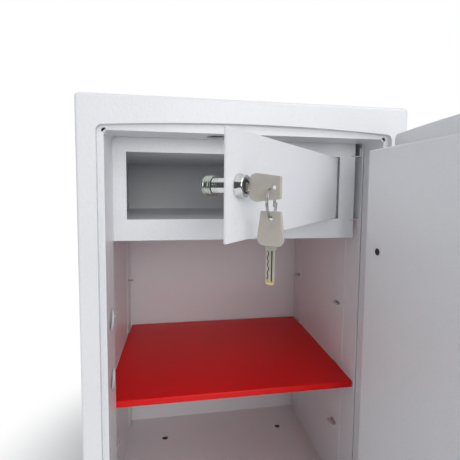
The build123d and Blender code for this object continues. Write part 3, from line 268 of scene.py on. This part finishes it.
def metalFinish(name, look):
    # plated or turned metal: faint smudges, fine scratches drawn out along one axis
    material, work = newMaterial(name)
    place = work.node("ShaderNodeTexCoord", out="Object")
    smudge = work.noise(place, look["smudgeScale"])
    lines = work.noise(place, look["lineScale"], stretch=look["lineStretch"])
    colour = work.mix(smudge, look["low"], look["high"])
    rough = (look["rough"] + (smudge - 0.5) * look["roughSpread"]
             + (lines - 0.5) * look["lineRough"])
    soft = work.node("ShaderNodeBevel", {"samples": edgeSamples}, {"Radius": look["edge"]})
    bumped = work.node("ShaderNodeBump", None, {
        "Strength": look["bump"], "Distance": look["depth"], "Height": lines, "Normal": soft})
    surface = work.node("ShaderNodeBsdfPrincipled", None, {
        "Base Color": colour, "Metallic": look["metal"], "Roughness": rough, "Normal": bumped})
    work.node("ShaderNodeOutputMaterial", None, {"Surface": surface})
    return material


paintLook = {
    "low": (0.73, 0.735, 0.755, 1), "high": (0.82, 0.825, 0.845, 1),
    "grainScale": 620.0, "grainDetail": 3.0, "peelScale": 260.0, "peelDetail": 1.5, "driftScale": 9.0,
    "grainTone": 0.9, "driftTone": 0.5, "rough": 0.31, "roughSpread": 0.14, "edge": 0.0007,
    "bump": 0.9, "depth": 0.00026, "grainShare": 0.6, "peelShare": 1.3, "gloss": 0.5,
}
redLook = dict(paintLook, low=(0.68, 0.003, 0.004, 1), high=(0.82, 0.005, 0.005, 1),
               rough=0.36, bump=0.35, gloss=0.24)

chromeLook = {
    "low": (0.54, 0.56, 0.555, 1), "high": (0.66, 0.675, 0.665, 1), "metal": 1.0,
    "smudgeScale": 160.0, "lineScale": 900.0, "lineStretch": (1, 1, 0.15),
    "rough": 0.09, "roughSpread": 0.05, "lineRough": 0.05,
    "edge": 0.0002, "bump": 0.15, "depth": 0.00002,
}
zincLook = dict(chromeLook, low=(0.36, 0.41, 0.37, 1), high=(0.52, 0.57, 0.52, 1),
                rough=0.30, roughSpread=0.16, lineRough=0.12, smudgeScale=70.0,
                bump=0.3, depth=0.00003, edge=0.0004)
boltLook = dict(chromeLook, rough=0.16)
handleLook = dict(chromeLook, low=(0.50, 0.51, 0.53, 1), high=(0.58, 0.59, 0.61, 1),
                  rough=0.30, roughSpread=0.08, lineRough=0.06, smudgeScale=40.0, edge=0.0006)
wireLook = dict(chromeLook, low=(0.34, 0.34, 0.34, 1), high=(0.46, 0.46, 0.45, 1), rough=0.30)
blackLook = dict(chromeLook, low=(0.02, 0.02, 0.022, 1), high=(0.05, 0.05, 0.054, 1),
                 metal=0.35, rough=0.36, smudgeScale=220.0, edge=0.0003)
bowLook = dict(blackLook, low=(0.46, 0.43, 0.38, 1), high=(0.55, 0.515, 0.46, 1),
               metal=0.25, rough=0.42, roughSpread=0.1, smudgeScale=120.0, bump=0.25, depth=0.00003)

finishes = {
    "cabinet_paint": powderCoat("coolGreyCoat", paintLook),
    "shelf_paint": powderCoat("redCoat", redLook),
    "chrome": metalFinish("brightChrome", chromeLook),
    "zinc_steel": metalFinish("zincPlate", zincLook),
    "bolt_steel": metalFinish("turnedBoltSteel", boltLook),
    "ring_steel": metalFinish("ringWireSteel", wireLook),
    "handle_metal": metalFinish("satinCast", handleLook),
    "dark_plug": metalFinish("blackPlug", blackLook),
    "dark_screw": metalFinish("blackScrew", dict(blackLook, rough=0.45)),
    "key_bow": metalFinish("keyBowCoat", bowLook),
}


def bladeFinish(name, look):
    # nickel-plated brass with a near-black painted shade in the grooves, and a brassy, worn tip, both from the
    # mesh's own attributes
    material, work = newMaterial(name)
    place = work.node("ShaderNodeTexCoord", out="Object")
    groove = work.node("ShaderNodeAttribute", {"attribute_name": "groove"}, out=2)
    tip = work.node("ShaderNodeAttribute", {"attribute_name": "tip"}, out=2)
    smudge = work.noise(place, look["smudgeScale"])
    plate = work.mix(smudge, look["low"], look["high"])
    worn = tip * look["tipShare"] + (smudge - 0.5) * look["wearSpread"]
    # painted shade: the groove mask pulls the colour towards a near-black in the grooves and the track
    colour = work.mix(groove, work.mix(worn, plate, look["brass"]), look["paintedGrooveShade"])
    rough = look["rough"] + smudge * look["roughSpread"]
    bumped = work.node("ShaderNodeBump", None, {
        "Strength": look["bump"], "Distance": look["depth"], "Height": smudge})
    surface = work.node("ShaderNodeBsdfPrincipled", None, {
        "Base Color": colour, "Metallic": look["metal"], "Roughness": rough, "Normal": bumped})
    work.node("ShaderNodeOutputMaterial", None, {"Surface": surface})
    return material


bladeLook = {
    "low": (0.55, 0.52, 0.45, 1), "high": (0.72, 0.69, 0.62, 1), "brass": (0.72, 0.52, 0.24, 1),
    # the near-black colour here is painted shade in the blade's grooves
    "paintedGrooveShade": (0.035, 0.032, 0.028, 1), "tipShare": 0.85, "wearSpread": 0.3, "metal": 0.75,
    "rough": 0.26, "roughSpread": 0.16, "smudgeScale": 260.0, "bump": 0.2, "depth": 0.00003,
}
finishes["key_blade"] = bladeFinish("keyBladePlate", bladeLook)

for row in frame["record"]["subparts"]:
    node = nodes[row["node"]]
    node.data.materials.clear()
    node.data.materials.append(finishes[row["material_slot"]])
print("finishes set on the packed nodes")


def lockerPlace(x, y, z):
    # from the closed locker door's own millimetres to the open door at rest
    swing = joints["locker_door_swing"]
    pivot = Vector(swing["pos_m"])
    turn = Matrix.Rotation(math.radians(swing["range_deg"][1]), 3, "Z")
    return pivot + turn @ (Vector((x, y, z)) * mm - pivot)


mergeReach = 0.000002  # metres within which two points become one


def addPiece(name, body, slot, mesh, stands=None, *, sharp):
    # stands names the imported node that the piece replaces; edges over sharp degrees stay sharp
    work = bmesh.new()
    work.from_mesh(mesh)
    bmesh.ops.remove_doubles(work, verts=work.verts, dist=mergeReach)
    bmesh.ops.recalc_face_normals(work, faces=work.faces)
    work.to_mesh(mesh)
    work.free()
    for polygon in mesh.polygons:
        polygon.use_smooth = True
    mesh.set_sharp_from_angle(angle=math.radians(sharp))
    mesh.materials.clear()
    mesh.materials.append(finishes[slot])
    piece = bpy.data.objects.new(name, mesh)
    bpy.context.scene.collection.objects.link(piece)
    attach(piece, body)
    if stands:
        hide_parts(stands)
    print("made", name, "-", len(mesh.polygons), "faces")


def meshOf(name, points, faces):
    mesh = bpy.data.meshes.new(name)
    mesh.from_pydata([tuple(point) for point in points], [], faces)
    return mesh


def settled(holder):
    # the plain mesh that an object's modifiers or curve settings come to
    graph = bpy.context.evaluated_depsgraph_get()
    return bpy.data.meshes.new_from_object(holder.evaluated_get(graph))


def grow(name, tree, values, seed=()):
    # runs a Geometry Nodes tree on a few seed points and gives back the plain mesh
    holder = bpy.data.objects.new(name + "Seed", meshOf(name + "Seed", seed, []))
    bpy.context.scene.collection.objects.link(holder)
    modifier = holder.modifiers.new("grow", "NODES")
    modifier.node_group = tree
    for item in tree.interface.items_tree:
        if item.in_out == "INPUT" and item.name in values:
            modifier[item.identifier] = values[item.name]
    made = settled(holder)
    holder.modifiers.clear()
    bpy.data.objects.remove(holder)
    return made


def newTree(name, inputs):
    tree = bpy.data.node_groups.new(name, "GeometryNodeTree")
    tree.interface.new_socket(name="Geometry", in_out="OUTPUT", socket_type="NodeSocketGeometry")
    for key, kind in [("Geometry", "Geometry")] + inputs:
        tree.interface.new_socket(name=key, in_out="INPUT", socket_type="NodeSocket" + kind)
    return tree, NodeWork(tree)


def turned(profile, axis, around):
    # points of a closed profile (reach, along) turned about an axis; a reach may depend on the angle
    points, faces = [], []
    for index in range(around):
        angle = math.tau * index / around
        for reach, along in profile:
            if callable(reach):
                reach = reach(angle)
            points.append(axis(reach * math.cos(angle), along, reach * math.sin(angle)))
    rows = len(profile)
    for index in range(around):
        here, there = index * rows, (index + 1) % around * rows
        for row in range(rows):
            nextRow = (row + 1) % rows
            faces.append((here + row, here + nextRow, there + nextRow, there + row))
    return points, faces


# the cam lock on the locker door: chrome bezel in front, flatted barrel behind
camLockLook = {
    "x": -150.8, "z": 576.0, "doorFront": -128.4, "doorSheet": 2.0,
    "bezelBase": 11.0, "bezelRim": 9.5, "bezelHeight": 7.5, "bore": 6.0, "around": 96,
    "lipSteps": [(0, 2.0), (0.25, 1.15), (0.9, 0.75), (1.0, 0.35), (1.7, 0.12)],  # past bore and tip
    "rimSteps": [(-1.3, 0), (-0.55, 0.14), (-0.12, 0.55), (0, 1.1), (0.25, 3.2)],  # past rim and tip
    "footSteps": [(-0.5, -2.0), (-0.08, -1.3), (0, -0.7), (-0.1, 0)],  # past base and door
    "barrel": 8.0, "flat": 6.8, "flatStart": 0.05, "leastSine": 0.01, "barrelLength": 23.0,
    "grooves": (16.6, 18.4, 20.2),  # from the door's back
    "grooveSteps": [(0, 0), (0.35, 0.2), (0.35, 0.55), (0, 0.75)],  # sunk, along
    "endSteps": [(0, 0.5), (0.4, 0)],  # sunk, short of the end
}


def lockAxis(x, y, z):
    return lockerPlace(camLockLook["x"] + x, y, camLockLook["z"] + z)


def addCamLockBody():
    look = camLockLook
    front = look["doorFront"]
    back = front + look["doorSheet"]
    end = back + look["barrelLength"]
    tip = front - look["bezelHeight"]

    def flatted(reach):
        # the flats lie above and below; the floor under the sine only keeps the division safe
        return lambda angle: min(reach, look["flat"] / max(abs(math.sin(angle)), look["leastSine"]))

    barrel = look["barrel"]
    profile = [(look["bore"], end)]
    profile += [(look["bore"] + reach, tip + along) for reach, along in look["lipSteps"]]
    profile += [(look["bezelRim"] + reach, tip + along) for reach, along in look["rimSteps"]]
    profile += [(look["bezelBase"] + reach, front + along) for reach, along in look["footSteps"]]
    profile += [(barrel, front), (barrel, back), (flatted(barrel), back + look["flatStart"])]
    for groove in look["grooves"]:
        profile += [(flatted(barrel - sunk), back + groove + along)
                    for sunk, along in look["grooveSteps"]]
    profile += [(flatted(barrel - sunk), end - short) for sunk, short in look["endSteps"]]
    addPiece("camLockBody", "locker_door", "chrome",
             meshOf("camLockBody", *turned(profile, lockAxis, look["around"])), "lock_barrel",
             sharp=26)


addCamLockBody()


# both keys are alike: a flared bow with a ring hole, a collar and a grooved blade
keyLook = {
    "bowLength": 28.4, "bowHalf": 11.9, "bowThick": 3.0, "bowRound": 0.55, "bowRoundSteps": 4,
    "collarShare": 0.86, "shoulderShare": 0.55, "endShare": 0.76,  # of the bow's half width
    "collarCorner": 4.6, "shoulderCorner": 8.0, "endCorner": 1.2, "cornerSteps": 12,
    "hole": 1.95, "holePoints": 40,
    "holeInset": 6.0,  # from the bow's far end to the middle of the hole
    "rows": 170, "columns": 46,  # of each face of the blade
    "bladeHalf": 3.95, "bladeThick": 2.1, "bladeLength": 32.2,
    "bladeRoot": 1.5,  # how far the blade reaches back into the bow
    "collarHalf": 5.1, "collarLength": 2.6, "collarFall": 0.5,
    "neckHalf": 3.3,  # of the key in the lock, which has a narrow neck before the bezel instead
    "noseLength": 2.4, "noseCurve": 2.6, "noseShare": 0.62,
    "cutStart": 1.2,  # from the collar to where both cuts begin
    "cutCurve": 4,
    "grooveAt": 1.75, "grooveHalf": 0.62, "grooveDepth": 0.6, "grooveStop": 3.0,
    "trackAt": -1.75, "trackHalf": 0.5, "trackDepth": 0.55, "trackStop": 4.5,
    "trackWaves": [(0.42, 1.05, 0.6), (0.3, 0.43, 0)],  # reach, pace along the blade, start
    "rimShare": 0.07, "rimFall": 0.45, "tipLength": 1.6, "tipFall": 0.5,
    # the groove gain sets how fast the painted shade in the grooves reaches full darkness with the cut's depth
    "grooveShadeGain": 1.3, "brassLength": 8.0, "brassFade": 6.0,
}


def roundedLoop(corners, steps):
    # corners are (x, y, radius); each corner becomes an arc
    loop = []
    count = len(corners)
    for index, (x, y, radius) in enumerate(corners):
        here = Vector((x, y))
        before = (Vector(corners[index - 1][:2]) - here).normalized()
        after = (Vector(corners[(index + 1) % count][:2]) - here).normalized()
        half = before.angle(after) / 2
        middle = here + (before + after).normalized() * radius / math.sin(half)
        start = here + before * radius / math.tan(half) - middle
        stop = here + after * radius / math.tan(half) - middle
        sweep = start.angle_signed(stop)
        for step in range(steps + 1):
            turn = Matrix.Rotation(-sweep * step / steps, 2)
            loop.append(middle + turn @ start)
    return loop


def bowMesh():
    # flat plate in X and Y, X from the collar outwards, with soft edges and a drilled hole
    look = keyLook
    half, length = look["bowHalf"], look["bowLength"]
    upper = [(length, half * look["endShare"], look["endCorner"]),
             (half * look["shoulderShare"], half, look["shoulderCorner"]),
             (0, half * look["collarShare"], look["collarCorner"])]
    corners = [(x, -y, radius) for x, y, radius in reversed(upper)] + upper
    angles = [math.tau * index / look["holePoints"] for index in range(look["holePoints"])]
    ring = [(length - look["holeInset"] + look["hole"] * math.cos(angle),
             look["hole"] * math.sin(angle)) for angle in angles]
    curve = bpy.data.curves.new("bowPlate", "CURVE")
    curve.dimensions = "2D"
    curve.fill_mode = "BOTH"
    for loop in (roundedLoop(corners, look["cornerSteps"]), ring):
        spline = curve.splines.new("POLY")
        spline.points.add(len(loop) - 1)
        for point, place in zip(spline.points, loop):
            point.co = (place[0], place[1], 0, 1)
        spline.use_cyclic_u = True
    curve.bevel_depth = look["bowRound"]
    curve.bevel_resolution = look["bowRoundSteps"]
    curve.offset = -look["bowRound"]
    curve.extrude = look["bowThick"] / 2 - look["bowRound"]
    holder = bpy.data.objects.new("bowPlate", curve)
    bpy.context.scene.collection.objects.link(holder)
    mesh = settled(holder)
    bpy.data.objects.remove(holder)
    return mesh


def bladeForm(collarHalf):
    # a grid over each face, sunk along a straight groove and a cut track, closed at the rim
    look = keyLook
    alongCount, acrossCount = look["rows"], look["columns"]
    cutStart = look["collarLength"] + look["cutStart"]
    points, faces, groove, tip = [], [], [], []

    def bladeWidth(along, toTip):
        # half the width: the collar, a smooth fall to the blade, the rounded nose
        half = look["bladeHalf"]
        if toTip < look["noseLength"]:
            bend = math.sqrt(max(1 - (1 - toTip / look["noseLength"]) ** look["noseCurve"], 0))
            half *= bend * look["noseShare"] + 1 - look["noseShare"]
        step = min(max((along - look["collarLength"]) / look["collarFall"], 0), 1)
        return half + (collarHalf - look["bladeHalf"]) * (1 - step * step * (3 - 2 * step))

    def cutShare(along, across, toTip):
        # how deep the groove or the track is here, as a share of the groove's depth
        cut = 0
        if along > cutStart and toTip > look["grooveStop"]:
            aside = abs(across - look["grooveAt"]) / look["grooveHalf"]
            cut = 1 - aside ** look["cutCurve"]
        if along > cutStart and toTip > look["trackStop"]:
            middle = look["trackAt"] + sum(reach * math.sin(along * pace + start)
                                           for reach, pace, start in look["trackWaves"])
            aside = abs(across - middle) / look["trackHalf"]
            track = (1 - aside ** look["cutCurve"]) * look["trackDepth"] / look["grooveDepth"]
            cut = max(cut, track)
        return max(cut, 0)

    for side in (1, -1):
        for row in range(alongCount + 1):
            along = (look["bladeLength"] + look["bladeRoot"]) * row / alongCount - look["bladeRoot"]
            toTip = look["bladeLength"] - along
            half = bladeWidth(along, toTip)
            for column in range(acrossCount + 1):
                share = 2 * column / acrossCount - 1
                cut = cutShare(along, half * share, toTip)
                rim = max(abs(share) - 1 + look["rimShare"], 0) / look["rimShare"]
                nose = max(1 - toTip / look["tipLength"], 0)
                fall = look["rimFall"] * rim ** 2 + look["tipFall"] * nose ** 2
                height = look["bladeThick"] / 2 * (1 - fall) - look["grooveDepth"] * cut
                points.append((along, half * share, side * height))
                # the groove mask carries the painted shade: the deeper the cut, the darker the colour
                groove.append(min(cut * look["grooveShadeGain"], 1))
                tip.append(min(max((look["brassLength"] - toTip) / look["brassFade"], 0), 1))
    rowSize = acrossCount + 1
    sideSize = rowSize * (alongCount + 1)
    for side in (0, 1):
        base = side * sideSize
        for row in range(alongCount):
            for column in range(acrossCount):
                corner = base + row * rowSize + column
                faces.append((corner, corner + 1, corner + rowSize + 1, corner + rowSize))
    edge = list(range(rowSize))
    edge += [row * rowSize + acrossCount for row in range(1, alongCount + 1)]
    edge += [alongCount * rowSize + column for column in range(acrossCount - 1, -1, -1)]
    edge += [row * rowSize for row in range(alongCount - 1, 0, -1)]
    for index, corner in enumerate(edge):
        other = edge[(index + 1) % len(edge)]
        faces.append((corner, other, other + sideSize, corner + sideSize))
    return points, faces, groove, tip


def addKey(name, body, stands, place, collarHalf):
    # place turns (along the key, across it, through it), in millimetres, into the rest frame
    bow = bowMesh()
    bow.name = name + "Bow"
    for vertex in bow.vertices:
        vertex.co = place(*vertex.co)
    addPiece(name + "Bow", body, "key_bow", bow, stands, sharp=40)
    points, faces, groove, tip = bladeForm(collarHalf)
    blade = meshOf(name + "Blade",
                   [place(-along, across, through) for along, across, through in points], faces)
    for key, values in (("groove", groove), ("tip", tip)):
        layer = blade.attributes.new(key, "FLOAT", "POINT")
        layer.data.foreach_set("value", values)
    addPiece(name + "Blade", body, "key_blade", blade, sharp=40)


# z is the height of the inserted key, spareZ that of the spare key's hole
keyHole = {"y": -158.4, "z": 575.0, "spareZ": 550.0,
           "bowStart": -138.6}  # where the inserted key's bow begins, in front of the bezel


def insertedPlace(along, across, through):
    return lockerPlace(camLockLook["x"] + through, keyHole["bowStart"] - along, keyHole["z"] + across)


def sparePlace(along, across, through):
    start = keyHole["spareZ"] - keyLook["bowLength"] + keyLook["holeInset"]
    return lockerPlace(camLockLook["x"] + through, keyHole["y"] - across, start + along)


addKey("insertedKey", "lock_plug", "inserted_key", insertedPlace, keyLook["neckHalf"])
addKey("spareKey", "spare_key", "spare_key", sparePlace, keyLook["collarHalf"])


# split ring: wire wound twice round, its turns side by side
ringLook = {"radius": 11.7, "wire": 0.54, "pitch": 1.3, "turns": 2.05, "z": 562.5, "yaw": 9.0,
            "steps": 96, "wireSides": 14}  # steps: for each turn


def addSplitRing():
    look = ringLook
    inputs = [(key, "Float") for key in ("radius", "wire", "pitch", "turns")] + [("finish", "Material")]
    tree, work = newTree("splitRingWinding", inputs)
    value = {key: work.node("NodeGroupInput", out=key) for key, kind in inputs}
    line = work.node("GeometryNodeCurveSpiral", None, {
        "Resolution": look["steps"], "Rotations": value["turns"], "Start Radius": value["radius"],
        "End Radius": value["radius"], "Height": value["pitch"] * value["turns"]})
    wire = work.node("GeometryNodeCurvePrimitiveCircle", None, {
        "Resolution": look["wireSides"], "Radius": value["wire"]})
    tube = work.node("GeometryNodeCurveToMesh", None, {
        "Curve": line, "Profile Curve": wire, "Fill Caps": True})
    real = work.node("GeometryNodeRealizeInstances", None, {"Geometry": tube})
    named = work.node("GeometryNodeSetMaterial", None, {"Geometry": real, "Material": value["finish"]})
    work.node("NodeGroupOutput", None, {"Geometry": named})
    mesh = grow("splitRing", tree, dict(look, finish=finishes["ring_steel"]))
    yaw = math.radians(look["yaw"])
    rise = look["pitch"] * look["turns"] / 2
    for vertex in mesh.vertices:
        side, height, depth = vertex.co
        depth -= rise
        aside = side * math.cos(yaw) - depth * math.sin(yaw)
        ahead = side * math.sin(yaw) + depth * math.cos(yaw)
        vertex.co = lockerPlace(camLockLook["x"] + aside, keyHole["y"] + ahead, look["z"] + height)
    addPiece("splitRing", "key_ring", "ring_steel", mesh, "split_ring", sharp=50)


addSplitRing()


# pressed screw heads with a cross recess
screwLook = {
    "cross": 0.55, "crossReach": 2.3, "crossDepth": 1.1, "crossRise": 0.5, "rings": 26, "around": 72,
    "coverRadius": 4.5, "coverRise": 2.2, "coverShank": 2.45,
    "coverDome": [(0, 0), (1.6, 0.08), (3.0, 0.45), (4.0, 1.05), (4.42, 1.5)],  # reach, fall
    "coverFoot": [(0, 0.35), (0.15, 0)],  # inside the rim, height
}


def crossHead(profile, scale, place):
    # profile gives (reach, height) from the middle outwards, then down to the foot
    look = screwLook
    points, faces = [place(0, 0, profile[0][1] - look["crossDepth"] * scale)], []
    stations = []
    for (reach, height), (nextReach, nextHeight) in zip(profile, profile[1:]):
        steps = max(int(look["rings"] * (nextReach - reach) / profile[-1][0]), 1)
        stations += [(reach + (nextReach - reach) * step / steps,
                      height + (nextHeight - height) * step / steps) for step in range(steps)]
    stations.append(profile[-1])
    around = look["around"]
    for reach, height in stations[1:]:
        for index in range(around):
            angle = math.tau * index / around
            x, y = reach * math.cos(angle), reach * math.sin(angle)
            narrow, long = sorted((abs(x), abs(y)))
            inside = narrow < look["cross"] * scale and long < look["crossReach"] * scale
            rise = look["crossRise"] * long / (look["crossReach"] * scale)
            points.append(place(x, y, height - inside * look["crossDepth"] * scale * (1 - rise)))
    faces += [(0, 1 + index, 1 + (index + 1) % around) for index in range(around)]
    for row in range(len(stations) - 2):
        for index in range(around):
            here, beside = 1 + row * around + index, 1 + row * around + (index + 1) % around
            faces.append((here, beside, beside + around, here + around))
    last = 1 + (len(stations) - 2) * around
    faces.append(tuple(range(last, last + around)))
    return points, faces


def addCoverScrews():
    look = screwLook
    low, high = (Vector(corner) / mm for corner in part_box("cover_screws"))
    radius, rise, shank = look["coverRadius"], look["coverRise"], look["coverShank"]
    base = low.x + rise
    profile = [(reach, rise - fall) for reach, fall in look["coverDome"]]
    profile += [(radius - inside, height) for inside, height in look["coverFoot"]]
    profile += [(shank, 0), (shank, base - high.x)]

    def headPlace(x, y, z):
        return Vector((base - z, x, y)) * mm

    head = meshOf("coverScrewHead", *crossHead(profile, 1.0, headPlace))
    holder = bpy.data.objects.new("coverScrewHead", head)
    tree, work = newTree("coverScrewPattern", [("screw", "Object"), ("finish", "Material")])
    screw = work.node("GeometryNodeObjectInfo", None, {
        "Object": work.node("NodeGroupInput", out="screw")}, out="Geometry")
    spread = work.node("GeometryNodeInstanceOnPoints", None, {
        "Points": work.node("NodeGroupInput", out="Geometry"), "Instance": screw})
    real = work.node("GeometryNodeRealizeInstances", None, {"Geometry": spread})
    named = work.node("GeometryNodeSetMaterial", None, {
        "Geometry": real, "Material": work.node("NodeGroupInput", out="finish")})
    work.node("NodeGroupOutput", None, {"Geometry": named})
    spots = [(0, y * mm, z * mm) for y in (low.y + radius, high.y - radius)
             for z in (low.z + radius, high.z - radius)]
    mesh = grow("coverScrews", tree, {"screw": holder, "finish": finishes["dark_screw"]}, spots)
    bpy.data.objects.remove(holder)
    addPiece("coverScrews", "main_door", "dark_screw", mesh, "cover_screws", sharp=30)


# washer and pressed head that hold the cam on the plug; the profile is (reach, height)
camScrewLook = {
    "camThick": 2.3, "crossScale": 1.8,
    "profile": [(0, 7.2), (5.2, 7.2), (8.3, 7.0), (8.9, 6.8), (9.2, 6.3), (9.2, 5.5), (8.9, 5.1),
                (8.5, 4.9), (8.5, 2.3), (8.9, 2.1), (9.2, 1.8), (9.2, 0.3), (8.9, 0.0)],
}


def addCamScrew():
    look, lock = camScrewLook, camLockLook
    back = lock["doorFront"] + lock["doorSheet"] + lock["barrelLength"] + look["camThick"]

    def screwPlace(x, y, z):
        return lockAxis(x, back + z, y)

    mesh = meshOf("camScrew", *crossHead(look["profile"], look["crossScale"], screwPlace))
    addPiece("camScrew", "lock_plug", "zinc_steel", mesh, "cam_screw", sharp=30)


addCoverScrews()
addCamScrew()


# shelf: one sheet folded down along its front and back
shelfLook = {"sheet": 1.2, "foldRadius": 2.4, "foldSteps": 8,
             "notch": 2.2, "notchLength": 47.0, "notchEdge": 0.05}


def addShelfTray():
    look = shelfLook
    low, high = (Vector(corner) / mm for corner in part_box("shelf"))
    sheet, radius = look["sheet"], look["foldRadius"]
    # side view from the front fold's foot to the back one's: y, z and the way to the inner face
    line = [(low.y, low.z, 1, 0), (low.y, high.z - radius, 1, 0)]
    turns = [math.pi / 2 * step / look["foldSteps"] for step in range(look["foldSteps"] + 1)]
    for turn in turns[1:]:
        line.append((low.y + radius * (1 - math.cos(turn)), high.z - radius * (1 - math.sin(turn)),
                     math.cos(turn), math.sin(turn)))
    for edge in (-look["notchEdge"], look["notchEdge"]):
        line.append((high.y - look["notchLength"] + edge, high.z, 0, 1))
    for turn in turns:
        line.append((high.y - radius * (1 - math.sin(turn)), high.z - radius * (1 - math.cos(turn)),
                     -math.sin(turn), math.cos(turn)))
    line.append((high.y, low.z, -1, 0))
    points, faces = [], []
    for y, z, inY, inZ in line:
        inset = look["notch"] if y > high.y - look["notchLength"] else 0
        left, right = low.x + inset, high.x - inset
        inner = (y + inY * sheet, z - inZ * sheet)
        points += [Vector(place) * mm for place in (
            (left, y, z), (left, *inner), (right, *inner), (right, y, z))]
    for row in range(len(line) - 1):
        base = row * 4
        for side in range(4):
            beside = (side + 1) % 4
            faces.append((base + side, base + beside, base + 4 + beside, base + 4 + side))
    last = len(points) - 4
    faces += [(0, 1, 2, 3), (last, last + 1, last + 2, last + 3)]
    mesh = meshOf("shelfTray", points, faces)
    addPiece("shelfTray", "shelf", "shelf_paint", mesh, "shelf", sharp=40)


addShelfTray()
